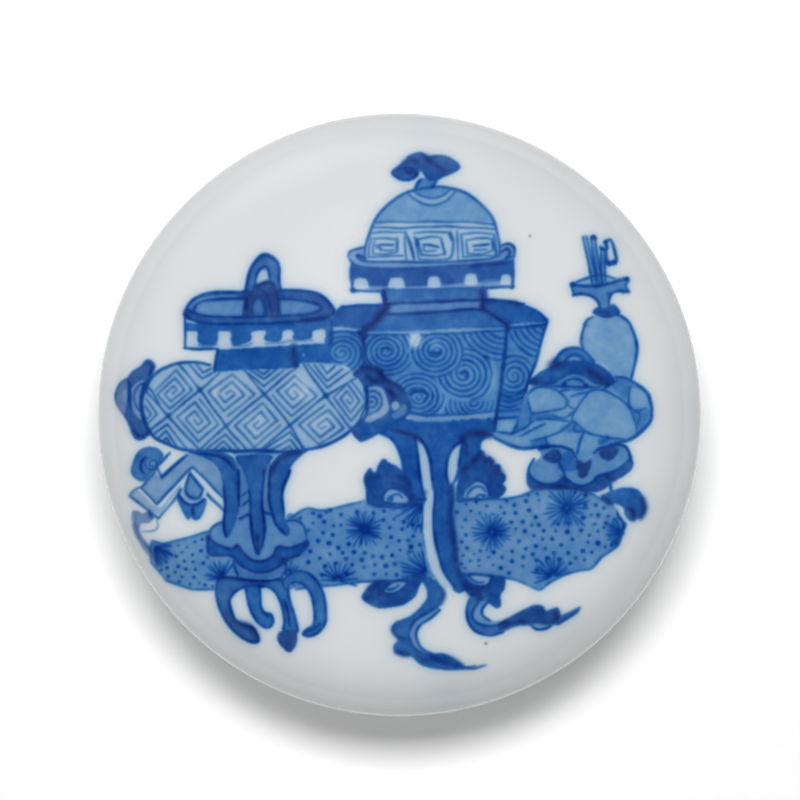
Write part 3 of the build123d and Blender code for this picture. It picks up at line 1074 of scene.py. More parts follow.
def paint_vase_lid(brush: Brushwork) -> None:
    """Paints the square vase's cloud finial, domed lid with fret panels and rim."""
    brush.start("painted_vase_lid", 0.15)
    brush.wash((414, 190, 420, 180, 426, 178, 437, 180, 435, 185, 432, 190), 2.3, 0.12, 0.3)
    brush.line((415, 189, 418, 183, 421, 180), 2.6, 3.6)
    brush.line((431, 188, 434, 184, 436, 181), 2.2, 3.2)
    cloud = (391, 173, 406, 160, 408, 156, 420, 152, 428, 156, 436, 155, 449, 157, 460, 166, 455, 172,
        434, 180, 427, 178, 421, 171, 418, 173, 417, 177, 406, 181)
    brush.wash(cloud, 3.8, 0.45, 0.12)
    brush.lines(((404, 164, 410, 160, 417, 161), (425, 157, 430, 161, 434, 165), (434, 163, 440, 168,
        446, 172), (405, 172, 411, 173, 416, 172)), 5, 4.4, 0.75)
    brush.line((398, 170, 404, 168, 412, 169, 417, 173, 413, 178), 2.6, 4.3, 0.4)
    brush.line((393, 174, 400, 179, 407, 180, 414, 178), 2, 4)
    brush.line((424, 173, 429, 178, 436, 179, 444, 174), 3.2, 3.8)
    dome = (365, 262, 366, 246, 370, 231, 384, 209, 405, 193, 434, 187, 450, 188, 473, 198, 491, 216,
        499, 242, 501, 258)
    brush.wash(dome, 0.52, 0.15, 0.05)
    brush.clip = brush.inside(dome)
    brush.wash((370, 226, 378, 210, 412, 186, 450, 185, 474, 194, 492, 210, 498, 225, 470, 223, 400, 221),
        1.56, 0.05, 0)
    brush.reserve((407, 192, 416, 188, 450, 188, 455, 192, 448, 200, 434, 205, 420, 202), 0.62)
    brush.wash((415, 192, 424, 188, 446, 188, 450, 191, 431, 198), 1.7, 0.1, 0.05)
    brush.lines(((405, 190, 412, 197, 422, 203, 434, 205, 446, 201, 455, 192), (413, 191, 421, 196,
        431, 198, 442, 196, 450, 190)), 1.9, 2.7)
    brush.lines(((376, 222, 465, 222, 493, 224.5), (373, 227.5, 405, 228, 440, 226.5, 496, 229)), 1.8, 2.7)
    brush.lines(((371, 233, 388, 232, 405, 232), (405, 233, 405, 246, 406, 260), (372, 238, 369, 248,
        368, 257), (370, 257, 388, 256, 403, 256), (373, 239, 384, 238, 396, 239), (375, 241, 373, 248,
        373, 254), (373, 254, 386, 254, 397, 252), (376, 247, 384, 250, 393, 250), (414, 233, 431, 232,
        449, 232), (414, 236, 417, 248, 419, 259), (419, 259, 434, 260, 446, 259), (421, 255, 434, 256,
        444, 254), (418, 239, 430, 237, 441, 238), (424, 246, 425, 251, 436, 250), (457, 231, 458, 245,
        458, 261), (461, 234, 477, 233, 493, 234), (461, 234, 462, 246, 463, 257), (463, 257, 479, 256,
        495, 256), (466, 240, 479, 238, 492, 239), (466, 240, 467, 247, 468, 254), (468, 254, 481, 254,
        492, 251), (474, 250, 480, 250, 487, 249)), 1.5, 2.3)
    brush.lines(((376, 246, 384, 245, 393, 245), (423, 245, 430, 245, 439, 247), (473, 246, 481, 245,
        489, 244), (380, 247, 381, 250), (441, 239, 443, 247, 445, 254), (492, 240, 493, 245, 493, 250)),
        1.9, 3.2)
    brush.lines(((397, 238, 397, 245, 397, 251), (406, 232, 410, 245, 414, 260), (417, 239, 419, 247,
        422, 255), (450, 232, 453, 242, 452, 255, 447, 260), (494, 234, 495, 245, 496, 256)), 2.8, 2.6)
    brush.lines(((408, 238, 411, 246, 414, 258), (417, 240, 418, 244), (449, 233, 452, 240)), 2.4, 3.3)
    brush.clip = None
    brush.line((365, 260, 366, 244, 376, 219, 394, 200, 418, 189, 450, 188, 473, 198, 491, 216, 499, 242,
        500, 254), 2.5, 3.2)
    rim = (348, 257, 350, 252, 356, 248, 365, 247, 366, 260, 385, 262, 445, 262, 485, 259, 500, 255,
        500, 246, 508, 244, 514, 248, 515, 256, 513, 262, 513, 287, 490, 286, 460, 288, 400, 290, 365, 291,
        352, 291, 351, 262)
    brush.wash(rim, 1.25, 0.4, 0)
    brush.wash((352, 262, 365, 268, 430, 268, 500, 262, 513, 259, 513, 259, 513, 280, 495, 279, 460, 282.5,
        405, 285.5, 380, 285, 352, 283.5), 4.2, 0.08, 0.06)
    brush.line((353, 285, 405, 286, 460, 283, 500, 280, 512, 281), 1.6, 2.2)
    for left, top, right, low in ((354, 278, 368, 287), (389, 277.5, 404, 287.5), (428, 276, 440, 286),
            (465, 273.5, 477, 283.5), (501, 274, 511, 283)):
        brush.reserve(((left, low + 1), (left + 0.5, top + 2), (left + 4, top), (right - 4, top),
            (right - 0.5, top + 2), (right, low + 1)), 0.1)
    brush.lines(((352, 290, 375, 291, 514, 287), (352, 262, 352, 276, 352, 290), (513, 260, 513, 274,
        513, 287), (350, 259, 354, 264, 365, 267.5, 385, 268.5, 430, 267.5, 480, 263.5, 500, 261.5,
        513, 256), (357, 257, 365, 261, 385, 262, 445, 262, 485, 259.5, 500, 255)), 2.1, 3.3)
    brush.line((470, 266, 490, 264.5, 511, 262), 3.4, 4.2, 0.3)
    brush.dots((353, 290, 512, 287), 4, 3.6, 0.4)
    brush.lines(((348, 257, 351, 251, 365, 247), (356, 255, 360, 256, 366, 259), (500, 246, 508, 244,
        514, 248, 514, 258)), 2.1, 3, 0.3)
    brush.lines(((502, 252, 507, 249, 510, 253, 506, 258), (357, 255, 362, 257)), 2.6, 3.7, 0.3)


def paint_vase_body(brush: Brushwork) -> None:
    """Paints the square vase: neck, stepped shoulders, two faces of spirals and legs."""
    brush.start("painted_vase_body", 0.05)
    apron = (391, 421, 392, 418, 411, 419, 440, 421, 470, 419, 495, 417, 496, 434, 488, 437, 481, 443,
        480, 452, 475, 460, 466, 466, 457, 480, 451, 488, 453, 500, 452, 520, 457, 560, 463, 577, 466, 588,
        459, 593, 450, 588, 441, 586, 434, 576, 423, 530, 424, 505, 414, 503, 410, 490, 405, 474, 403, 460,
        399, 449, 391, 440, 380, 434, 374, 432, 384, 429)
    brush.over(apron, 4.25, 0.1, 0.1)
    for strip, keep in (((415, 439, 421, 441, 429, 460, 432, 487, 434, 496, 433, 528, 435, 542, 444, 571,
            452, 585, 453, 592, 444, 590, 431, 569, 424, 540, 423, 508, 426, 500, 422, 492, 420, 478,
            416, 448), 0.08), ((464, 443, 452, 449, 449, 458, 446, 481, 449, 486, 455, 478, 461, 454),
            0.08)):
        brush.reserve(strip, keep)
    brush.line((451, 487, 452, 500, 451, 520, 457, 565, 463, 582), 6.5, 4.5, 0.55)
    brush.lines(((436, 492, 434, 530, 443, 568, 455, 588), (421, 440, 427, 449, 431, 462, 433, 480,
        436, 492), (415, 438, 421, 484, 424, 497), (448, 485, 446, 474, 448, 458, 453, 447, 462, 441),
        (462, 443, 461, 456, 459, 466)), 2.8, 4.2, 0.3)
    brush.line((376, 432, 386, 435, 396, 444, 402, 458, 404, 472, 410, 490), 2.8, 4)
    brush.line((392, 430, 414, 436, 424, 442), 4, 4.4, 0.9)
    brush.line((462, 439, 470, 434, 480, 433, 490, 435), 6, 4.3, 0.9)
    brush.line((463, 440, 467, 447, 466, 455), 4, 4.2, 0.8)
    brush.line((410, 499, 418, 500, 425, 499), 5, 4.4, 0.2)
    brush.dots((424, 493, 494, 433), 4.5, 4.4, 0.6)
    left_face = (330, 329, 346, 327, 363, 330, 366, 345, 364, 360, 367, 367, 356, 374, 346, 366, 333, 364,
        330, 350)
    front = (363, 331, 385, 331, 440, 330, 470, 328, 506, 327, 504, 355, 497, 408, 496, 419, 470, 420,
        440, 422, 411, 420, 404, 400, 383, 372, 368, 366, 364, 350)
    side = (508, 323, 530, 322, 547, 320, 543, 336, 528, 382, 518, 420, 513, 435, 494, 434, 497, 408,
        501, 385, 504, 355)
    for outline, tone in ((left_face, 2.6), (front, 2.3), (side, 2.4)):
        brush.over(outline, tone, 0.03, 0.05)
    brush.clip = brush.inside(left_face)
    brush.curl((341.5, 353), 28, 5, 2.3, 3.3, 200)
    brush.clip = brush.inside(front)
    brush.arcs((474, 403), (4, 9, 14, 19, 24, 29), -10, 190, 2.2, 3.2, 0.85)
    brush.curl((418, 397), 29, -5.2, 1.95, 3.2, 190, flat=0.86)
    brush.curl((464, 374), 29, 4.8, 1.9, 3.2, 150, flat=0.95)
    brush.arcs((503, 322), (18, 24, 30, 36, 42), 85, 182, 2.2, 3.2, 0.9)
    brush.curl((386, 351), 29, -5.2, 2.15, 3.25, 20)
    brush.curl((436, 351), 28, 5, 2.05, 3.25, 120, flat=0.92)
    brush.lines(((410, 395, 415, 391, 422, 391, 428, 395, 424, 400), (431, 352, 437, 354, 441, 352),
        (460, 373, 466, 372, 466, 378), (381, 349, 387, 347, 391, 350)), 3.2, 3.9, 0.3)
    for patch, keep in (((489, 350, 494, 360, 497, 374, 494, 387, 487, 394, 491, 380, 491, 364), 0.7),
            ((441, 384, 446, 392, 447, 402, 443, 412, 437, 416, 441, 404), 0.75), ((430, 344, 435, 342,
            440, 345, 438, 350, 432, 350), 0.7), ((408, 333, 423, 333, 423, 344, 418, 350, 411, 349,
            407, 342), 0.6), ((411, 334, 420, 334, 420, 343, 416, 347, 411, 344), 0.25)):
        brush.reserve(patch, keep)
    strip = (364, 329, 410, 329, 450, 328, 506, 325, 506, 329, 460, 332, 410, 334, 366, 334)
    foot = (404, 414, 430, 417, 470, 414, 496, 412, 496, 417, 470, 419, 440, 421, 410, 420)
    for patch in (strip, foot):
        brush.over(patch, 1.2, 0.4, 0)
    brush.lines(((366, 335.5, 390, 334.5, 408, 334.5), (421, 335, 445, 334, 505, 330.5)), 2, 3.3)
    brush.line((405, 412, 425, 415, 450, 415, 496, 411), 1.8, 2.8)
    brush.clip = brush.inside(side)
    brush.arcs((547, 320), (10, 16, 22, 28, 34, 40), 85, 190, 2.2, 3.3, 0.95)
    brush.curl((514, 376), 24, 4, 2.15, 3.3, 170, flat=1)
    brush.wash((495, 395, 526, 390, 523, 400, 520, 412, 496, 413), 2, 0.03, 0)
    brush.lines(((500, 392, 511, 396, 524, 392), (499, 399, 510, 402, 523, 398), (498, 405, 509, 407,
        522, 403)), 2.2, 3.4)
    brush.lines(((497, 411, 509, 410.5, 521, 409), (496, 418, 507, 418, 519, 416.5)), 2.4, 3.7)
    brush.reserve((496, 421, 518, 421, 513, 431, 497, 431), 0.62)
    brush.reserve((509, 324, 526, 322, 544, 321, 543, 325, 526, 326, 509, 327), 0.5)
    brush.clip = brush.inside(left_face)
    brush.reserve((330, 326, 346, 325, 364, 328, 364, 331.5, 346, 330, 330, 331), 0.3)
    brush.line((330, 332.5, 346, 332, 362, 333), 2, 3.6)
    brush.clip = None
    brush.lines(((547, 321, 536, 360, 528, 382, 519, 418, 513, 433), (495, 433, 504, 433, 514, 434),
        (509, 327.5, 528, 327, 545, 324)), 2.8, 3.9, 0.2)
    brush.line((507, 324, 503, 370, 494, 434), 3.8, 4.1, 0.3)
    brush.line((362, 332, 364, 345, 364, 358, 368, 368), 3.6, 3.9, 0.5)
    brush.wash((357, 331, 365, 330, 368, 336, 363, 340), 4, 0.5, 0)
    shoulders = (((340, 307, 352, 306, 368, 306, 386, 303, 386, 310, 379, 318, 370, 326, 362, 329, 346, 327,
        331, 326, 333, 318), 4, 0.1), ((484, 301, 500, 302, 516, 302, 526, 306, 538, 312, 548, 321,
        530, 322, 509, 324, 500, 320, 490, 313, 484, 309), 4.05, 0.06), ((386, 312, 410, 312, 440, 311,
        482, 309, 494, 315, 507, 324, 507, 328, 470, 328, 430, 330, 390, 331, 366, 331, 376, 321), 3.75, 0),
        ((382, 289, 410, 290, 440, 290, 470, 289, 486, 287, 486, 302, 484, 308, 450, 311, 420, 312,
        386, 313, 384, 303), 3.4, 0))
    for outline, tone, violet in shoulders:
        brush.over(outline, tone, violet, 0.15)
    band = (391, 307, 402, 304, 430, 304, 460, 302, 482, 302, 481, 308, 460, 310, 430, 310, 405, 312,
        390, 312)
    brush.over(band, 1.95, 0.2, 0)
    brush.lines(((385, 315, 440, 312, 482, 310, 507, 325), (384, 304, 484, 300, 524, 304)), 2.6, 4.2, 0.3)
    brush.line((388, 306, 374, 323, 364, 330), 7, 4.3, 0.85)
    brush.line((482, 290, 484, 302, 482, 308, 492, 315), 6, 4.3, 0.6)
    brush.line((384, 291, 385, 302), 4, 4.2, 0.4)
    brush.line((498, 318, 506, 323, 508, 329), 5, 4.4, 0.6)
    brush.line((514, 303, 519, 307), 5, 4.2, 0.5)
    brush.lines(((341, 307, 355, 306, 380, 305), (526, 306, 538, 312, 548, 321)), 2.2, 4)


def paint_bottle(brush: Brushwork) -> None:
    """Paints the bottle that holds the incense tools."""
    brush.start("painted_bottle", 0.2)
    body = (593, 316, 600, 318, 608, 318, 617, 315, 630, 326, 637, 347, 633, 372, 631, 381, 615, 380,
        606, 366, 594, 360, 588, 352, 582, 350, 583, 328)
    brush.wash(body, 1.4, 0.1, 0.05)
    brush.wash((592, 345, 600, 352, 612, 366, 630, 374, 634, 350, 630, 330, 612, 326, 598, 332), 0.6, 0, 0)
    brush.wash((604, 320, 618, 320, 622, 340, 610, 348, 600, 335), 0.3, 0.4, 0)
    brush.line((593, 317, 586, 322, 581, 340, 583, 350), 2.3, 3.1, 0.3)
    brush.dots((582, 338, 585, 325), 3.6, 3.2)
    brush.line((617, 314, 625, 319, 631, 327, 637, 350, 631, 379), 2.8, 3.6, 0.15)
    dish = (571, 285, 576, 281, 590, 276, 603, 275, 616, 278, 626, 277, 630, 281, 627, 286, 628, 290,
        624, 294, 619, 292, 612, 292, 609, 298, 609, 307, 600, 307, 598, 300, 592, 296, 582, 294, 574, 295)
    brush.wash(dish, 2.3, 0.15, 0.15)
    brush.reserve((577, 283, 590, 277, 603, 276, 614, 279, 606, 283, 590, 285), 0.45)
    brush.lines(((571, 285, 594, 286, 608, 284, 627, 279), (573, 295, 582, 294, 592, 296, 598, 301,
        600, 308), (609, 307, 609, 299, 612, 293, 619, 291, 629, 292)), 2.8, 3.7, 0.3)
    brush.lines(((573, 284, 594, 276, 604, 275, 614, 278), (571, 286, 574, 295), (627, 279, 626, 285,
        629, 292)), 1.8, 2.7)
    brush.dots((573, 285, 627, 279, 626, 291, 596, 287, 575, 294, 609, 294), 4.2, 3.8)
    sticks = ((585, 237, 588, 252, 592, 270, 595, 286), (593, 237, 595, 252, 598, 270, 601, 285), (603, 250,
        603, 262, 604, 284))
    for stick in sticks:
        brush.line(stick, 5.2, 1.4, 0.15, (0.8, 1))
        route = np.reshape(stick, (-1, 2))
        brush.lines((route - (2, 0), route + (2, 0)), 1.8, 2.9)
    brush.lines(((591, 237, 594, 236, 596, 239), (600, 247, 604, 250, 607, 248, 605, 242), (604, 243,
        609, 240, 612, 243, 615, 253, 616, 262, 608, 263, 606, 246)), 2.6, 3.3, 0.2)
    brush.dots((593, 238, 602, 249, 609, 263, 614, 262, 606, 242), 4.2, 3.7)
    collar = (593, 313, 597, 308, 608, 308, 613, 304, 620, 313, 606, 318)
    brush.wash(collar, 4.1, 0.25, 0.1)
    brush.dots((601, 312, 607, 313), 6.5, 4.3, 0.5)


def paint_burner(brush: Brushwork) -> None:
    """Paints the round burner with its crackle and its lobed stand."""
    brush.start("painted_burner", 0.1)
    body = (492, 434, 496, 432, 514, 434, 520, 412, 524, 396, 532, 386, 534, 378, 548, 368, 562, 362,
        594, 362, 606, 368, 613, 376, 622, 377, 633, 381, 642, 388, 649, 398, 652, 411, 649, 422, 636, 437,
        612, 445, 594, 453, 588, 461, 583, 462, 576, 456, 572, 450, 562, 447, 550, 446, 520, 448, 504, 443)
    brush.over(body, 1.6, 0.08, 0.05)
    pools = ((622, 378, 634, 382, 644, 390, 634, 388, 628, 392, 626, 400, 618, 394, 612, 384), (652, 412,
        650, 424, 640, 432, 632, 412, 644, 408), (524, 398, 530, 405, 531, 416, 522, 428, 515, 430,
        519, 415), (530, 412, 548, 413, 570, 420, 555, 419, 535, 420), (560, 428, 576, 422, 584, 431,
        570, 433), (532, 442, 545, 437, 548, 446, 534, 448), (598, 440, 606, 436, 612, 440, 600, 446))
    for outline in pools:
        brush.wash(outline, 2.45, 0.05, 0)
    veins = ((527, 395, 534, 389, 546, 387, 558, 391, 570, 403), (527, 397, 531, 412, 538, 413, 562, 409,
        567, 404), (531, 414, 529, 424, 522, 430), (536, 420, 548, 419, 574, 422), (514, 433, 526, 427,
        534, 421), (530, 441, 558, 433, 574, 420), (544, 437, 548, 446), (571, 420, 574, 413, 588, 393,
        592, 390), (566, 399, 568, 406, 576, 410), (552, 415, 560, 418, 568, 416, 573, 412), (573, 421,
        588, 433, 610, 438, 624, 439), (576, 422, 574, 430, 584, 432), (584, 432, 580, 442, 577, 454),
        (570, 397, 578, 394, 588, 392), (560, 391, 572, 389, 584, 389), (590, 391, 600, 390, 612, 394,
        627, 405, 636, 424, 637, 434), (602, 389, 612, 384, 618, 380), (630, 386, 629, 404, 636, 411,
        646, 408), (634, 412, 640, 414, 638, 424), (600, 443, 608, 438, 606, 436), (520, 436, 532, 430,
        545, 424))
    brush.lines(veins, 1.9, 3.05, 0.08)
    brush.lines(((492, 434, 497, 439, 522, 448, 550, 446, 572, 450), (616, 377, 626, 378, 645, 391,
        650, 401, 652, 412, 649, 423, 632, 438, 606, 446)), 3, 3.7, 0.15)
    knob = (553, 364, 556, 357, 570, 348, 586, 352, 595, 363, 575, 366)
    brush.over(knob, 3.1, 0.08, 0.2)
    brush.lines(((554, 363, 560, 354, 568, 349, 578, 348, 587, 353, 593, 362), (564, 362, 568, 357,
        574, 354, 581, 356, 585, 361)), 2.4, 3.6)
    brush.reserve((569, 360, 574, 357, 580, 360, 575, 362), 0.5)
    lid = (529, 382, 544, 370, 568, 361, 596, 364, 613, 377, 613, 384, 606, 386, 592, 383, 576, 374,
        554, 384, 544, 386, 534, 385)
    brush.over(lid, 4.3, 0.2, 0.15)
    brush.lines(((590, 371, 598, 377, 606, 382), (552, 366, 562, 364)), 8, 4.2, 0.85)
    brush.line((532, 381, 540, 384, 550, 384), 5, 4.3, 0.7)
    inner = (556, 384, 560, 380, 576, 374, 592, 383, 586, 389, 572, 389, 560, 388)
    brush.over(inner, 2.1, 0.15, 0)
    brush.lines(((561, 386, 566, 381, 574, 379, 582, 381, 587, 387), (536, 385, 568, 387, 600, 387)), 2.3,
        3.3)
    brush.dots((564, 384, 586, 386), 4.5, 4, 0.3)
    stand = (540, 450, 549, 447, 562, 447, 573, 451, 577, 457, 584, 462, 590, 458, 595, 451, 604, 446,
        618, 444, 626, 447, 633, 465, 620, 478, 611, 482, 607, 487, 589, 493, 580, 489, 560, 487, 534, 490,
        529, 487, 527, 476, 529, 466, 541, 457)
    brush.over(stand, 1.9, 0.2, 0.05)
    rim = (528, 470, 534, 480, 545, 484, 556, 483, 565, 478, 574, 484, 583, 486, 592, 482, 598, 476,
        610, 473, 622, 466, 630, 459, 633, 465, 630, 471, 620, 478, 611, 482, 607, 487, 596, 492, 580, 489,
        545, 490, 529, 487, 527, 478)
    brush.wash(rim, 3.3, 0.45, 0.15)
    brush.lines(((532, 488, 545, 486, 575, 487, 588, 492), (562, 476, 568, 482, 560, 485), (606, 474,
        610, 479, 614, 479)), 4.5, 4.2, 0.9)
    brush.wash((560, 456, 570, 452, 577, 468, 568, 471, 558, 468), 2.9, 0, 0.1)
    for ball in ((543, 457, 554, 449, 560, 452, 561, 459, 556, 463, 549, 462), (599, 453, 604, 448,
            612, 446, 618, 449, 616, 456, 610, 460, 604, 459), (576, 460, 584, 463, 591, 460, 590, 468,
            586, 475, 580, 476)):
        brush.wash(ball, 3.6, 0.7, 0.1)
    brush.lines(((539, 449, 548, 447, 562, 447, 572, 451, 576, 458), (594, 453, 602, 448, 624, 446,
        632, 463)), 2.4, 3.9, 0.3)
    brush.line((578, 474, 582, 477, 587, 474), 3, 4.4, 0.8)
    brush.lines(((534, 459, 530, 466, 529, 472, 534, 480, 545, 484, 556, 483, 565, 478, 574, 484, 583, 486,
        592, 482, 598, 476, 610, 473, 622, 466, 631, 457), (559, 462, 563, 470, 565, 478)), 2.2, 4)
    brush.line((610, 482, 611, 490), 2.4, 3.4)


def paint_scroll_right(brush: Brushwork) -> None:
    """Paints the dotted scroll's right end with its knob."""
    brush.start("painted_scroll_right", 0.05)
    sheet = (455, 507, 458, 502, 470, 500, 500, 499, 518, 497, 532, 492, 545, 489, 560, 488, 575, 489,
        590, 493, 600, 499, 612, 506, 616, 504, 618, 514, 621, 522, 626, 524, 622, 534, 618, 545, 610, 551,
        601, 557, 595, 565, 590, 569, 578, 571, 562, 576, 550, 582, 541, 589, 534, 588, 524, 583, 514, 579,
        500, 577, 480, 574, 460, 573, 456, 555, 453, 530)
    brush.over(sheet, 1.82, 0.3, 0.12)
    brush.wash((545, 545, 600, 540, 606, 552, 590, 568, 560, 577, 540, 588, 520, 580, 530, 560), 0.7, 0, 0)
    brush.lines((sheet[2:24], sheet[28:54], sheet[52:64]), 2.1, 2.6)
    for centre, reach, rays, start, stop in (((492, 532), 21, 26, 0, 360), ((567, 508), 24, 24, 0, 360),
            ((553, 576), 22, 14, 160, 350), ((622, 533), 18, 12, 120, 245)):
        brush.star(centre, reach, rays, 3.1, start, stop)
    small = (466, 504, 476, 502, 487, 506, 501, 507, 471, 511, 480, 513, 493, 514, 504, 513, 465, 520,
        462, 527, 466, 535, 462, 542, 467, 548, 463, 555, 474, 554, 461, 564, 470, 561, 479, 560, 489, 557,
        493, 565, 454, 533, 458, 549, 516, 529, 479, 566, 465, 568, 539, 500, 537, 494, 528, 495, 604, 527,
        605, 547, 588, 542, 526, 549, 506, 500)
    large = (457, 512, 507, 501, 514, 505, 516, 513, 526, 501, 529, 510, 536, 517, 523, 522, 511, 522,
        532, 525, 539, 525, 525, 531, 534, 536, 544, 531, 543, 539, 519, 541, 536, 546, 545, 549, 480, 551,
        494, 552, 512, 551, 502, 557, 512, 561, 523, 557, 533, 554, 536, 560, 523, 566, 501, 568, 509, 573,
        552, 539, 561, 545, 554, 553, 568, 553, 559, 559, 572, 539, 556, 531, 567, 532, 581, 530, 589, 535,
        598, 543, 592, 552, 583, 551, 576, 558, 585, 560, 570, 563, 547, 558, 585, 505, 596, 505, 604, 508,
        591, 515, 598, 515, 595, 524, 598, 531, 608, 516, 606, 523, 614, 519, 585, 495, 575, 492, 558, 524,
        568, 523, 583, 518, 537, 570, 612, 545)
    brush.dots(small, 2.6, 3.9)
    brush.dots(large, 3.7, 4.3)
    brush.line((617, 509, 619, 517, 624, 524, 616, 545), 3.4, 3.9, 0.2)
    knob = (601, 497, 622, 488, 639, 491, 645, 506, 643, 515, 631, 521, 624, 513, 624, 508, 615, 504,
        611, 506)
    brush.over(knob, 3.6, 0.05, 0.15)
    brush.lines(((628, 508, 633, 512, 633, 518), (603, 498, 610, 503), (642, 498, 644, 508, 640, 517)), 5,
        4.3, 0.8)
    gap = (614, 505, 620, 505, 624, 509, 625, 516, 627, 521, 624, 522)
    brush.reserve(gap, 0.2)


def paint_leaves(brush: Brushwork) -> None:
    """Paints the curled, jagged leaves beside the vase's middle leg."""
    brush.start("painted_leaves", 0.15)
    leaves = ((367, 503, 366, 490, 364, 480, 366, 473, 370, 468, 373, 472, 376, 472, 379, 464, 384, 459,
        389, 463, 396, 466, 401, 470, 407, 475, 410, 483, 413, 492, 419, 500, 410, 505, 396, 508, 382, 508,
        372, 506), (457, 502, 457, 488, 459, 477, 463, 470, 470, 465, 476, 456, 481, 450, 485, 454,
        485, 459, 485, 459, 490, 457, 494, 461, 492, 466, 492, 466, 498, 464, 501, 468, 498, 474, 498, 474,
        504, 474, 506, 479, 502, 484, 502, 484, 506, 488, 504, 493, 498, 498, 488, 500, 470, 501),
        (381, 580, 373, 583, 366, 590, 362, 597, 366, 602, 373, 606, 380, 608, 392, 607, 402, 605, 411, 600,
        416, 595, 418, 589, 421, 583, 428, 580, 424, 574, 408, 577, 394, 580), (460, 575, 463, 586,
        469, 595, 477, 600, 484, 599, 490, 604, 497, 608, 501, 605, 500, 596, 504, 589, 505, 581, 503, 576,
        490, 575, 474, 573))
    hollows = ((384, 502, 383, 496, 387, 490, 393, 488, 400, 490, 406, 494, 410, 500, 407, 504, 396, 504),
        (463, 499, 464, 492, 469, 486, 476, 481, 482, 482, 487, 486, 489, 492, 488, 498, 476, 499),
        (383, 592, 385, 588, 391, 583, 399, 581, 407, 582, 404, 587, 397, 592, 390, 594), (465, 577,
        470, 582, 478, 586, 486, 586, 490, 582, 491, 577, 480, 575, 470, 575))
    for leaf, hollow in zip(leaves, hollows):
        brush.over(leaf, 4.5, 0.3, 0.1)
        brush.over(hollow, 1.05, 0.4, 0.05)
        brush.line(hollow + hollow[:2], 2, 3.4, 0.3)
    brush.lines(((368, 478, 390, 474, 402, 478), (402, 475, 408, 483, 412, 494), (390, 484, 400, 485,
        408, 492, 414, 501)), 4.5, 4.3, 0.5)
    brush.lines(((464, 471, 472, 464, 480, 456), (485, 458, 492, 464), (495, 468, 500, 474)), 6.5, 4.4,
        0.95)
    brush.lines(((369, 590, 378, 584), (367, 598, 370, 596), (377, 589, 381, 595, 392, 596), (471, 594,
        480, 597), (464, 581, 470, 588, 480, 589, 490, 587)), 5.5, 4.3, 0.7)
    brush.lines(((388, 503, 389, 497, 398, 494, 402, 498), (391, 502, 393, 497), (467, 497, 470, 491,
        475, 487, 481, 487, 486, 491), (475, 498, 480, 495, 486, 496), (388, 590, 393, 589, 399, 585),
        (469, 577, 476, 582, 484, 582)), 2.2, 3.2)
    brush.dots((391, 499, 484, 496, 390, 589), 3.2, 3.9)


def paint_ribbons(brush: Brushwork) -> None:
    """Paints the silk ribbons that hang below the vase."""
    brush.start("painted_ribbons", 0.2)
    first = (426, 576, 434, 580, 444, 592, 437, 610, 430, 618, 422, 623, 416, 638, 424, 652, 444, 654,
        458, 661, 464, 666, 476, 666, 452, 670, 424, 666, 410, 655, 400, 654, 394, 651, 394, 645, 398, 640,
        393, 633, 392, 627, 396, 622, 412, 615, 426, 600, 427, 590, 424, 583)
    brush.over(first, 3.85, 0.2, 0.15)
    light = (439, 608, 421, 618, 412, 625, 410, 634, 412, 644, 418, 650, 424, 651, 418, 645, 415, 637,
        416, 630, 421, 623, 430, 618)
    brush.over(light, 1.6, 0.35, 0.05)
    brush.lines(((437, 607, 418, 618, 411, 626, 409, 636, 413, 646, 420, 652), (440, 610, 431, 618,
        421, 624, 416, 632, 417, 641, 422, 649, 432, 654)), 2.2, 3.4)
    brush.lines(((393, 628, 396, 634, 402, 639, 408, 639), (396, 652, 404, 654, 412, 654), (416, 656,
        426, 660, 440, 660), (438, 587, 443, 594, 440, 604), (444, 657, 454, 661, 463, 667)), 4, 4.2, 0.5)
    brush.line((432, 657, 446, 662, 458, 666), 7, 4.2, 0.2)
    brush.line((462, 668, 474, 668, 487, 665), 2, 2.2, 0.3, (1, 0.3))
    second = (471, 597, 468, 606, 466, 616, 473, 630, 492, 635, 512, 628, 524, 625, 544, 627, 564, 621,
        578, 608, 559, 616, 558, 608, 546, 611, 542, 606, 526, 609, 506, 620, 497, 623, 488, 622, 482, 617,
        480, 610, 484, 602, 489, 598)
    brush.over(second, 3, 0.3, 0.15)
    inner = (481, 602, 473, 616, 477, 622, 486, 625, 497, 625, 500, 621, 490, 621, 483, 616, 481, 610,
        486, 602)
    brush.over(inner, 1.6, 0.2, 0.05)
    brush.lines(((479, 601, 474, 608, 472, 617, 477, 623, 488, 626, 498, 625, 506, 621), (487, 602,
        482, 609, 483, 616, 490, 621), (469, 600, 467, 612, 469, 623, 476, 631, 490, 635, 503, 632)), 2.2,
        3.7, 0.2)
    brush.wash((498, 624, 508, 618, 532, 606, 542, 606, 546, 611, 557, 608, 560, 617, 552, 624, 520, 624,
        506, 628, 499, 630), 3.4, 0.5, 0.12)
    brush.lines(((501, 626, 512, 622, 530, 621), (538, 608, 541, 616), (556, 612, 557, 619), (476, 600,
        482, 598)), 5, 4.4, 0.75)
    brush.reserve((531, 625, 540, 623, 548, 626, 544, 629, 536, 629), 0.45)
    brush.line((531, 625, 537, 629, 545, 629, 551, 626), 1.8, 3.5)
    brush.line((558, 624, 574, 613, 580, 607), 3.4, 3.4, 0.25, (1, 0.2))


def paint_specks(brush: Brushwork) -> None:
    """Sets the two brown specks that the kiln left in the glaze."""
    softness, depth, rim = 1.8, 0.6, 1.5
    brush.start("painted_specks", 0)
    for x, y, size in ((486, 643.5, 2.6), (530, 236, 2.3)):
        away = np.hypot(brush.xs[None, :] - x, brush.ys[:, None] - y)
        spot = np.clip((size - away) / softness, 0, 1) * depth
        brush.iron = np.maximum(brush.iron, spot.astype(np.float32))
        brush.owner[away < size + rim] = brush.piece


# Turned pieces

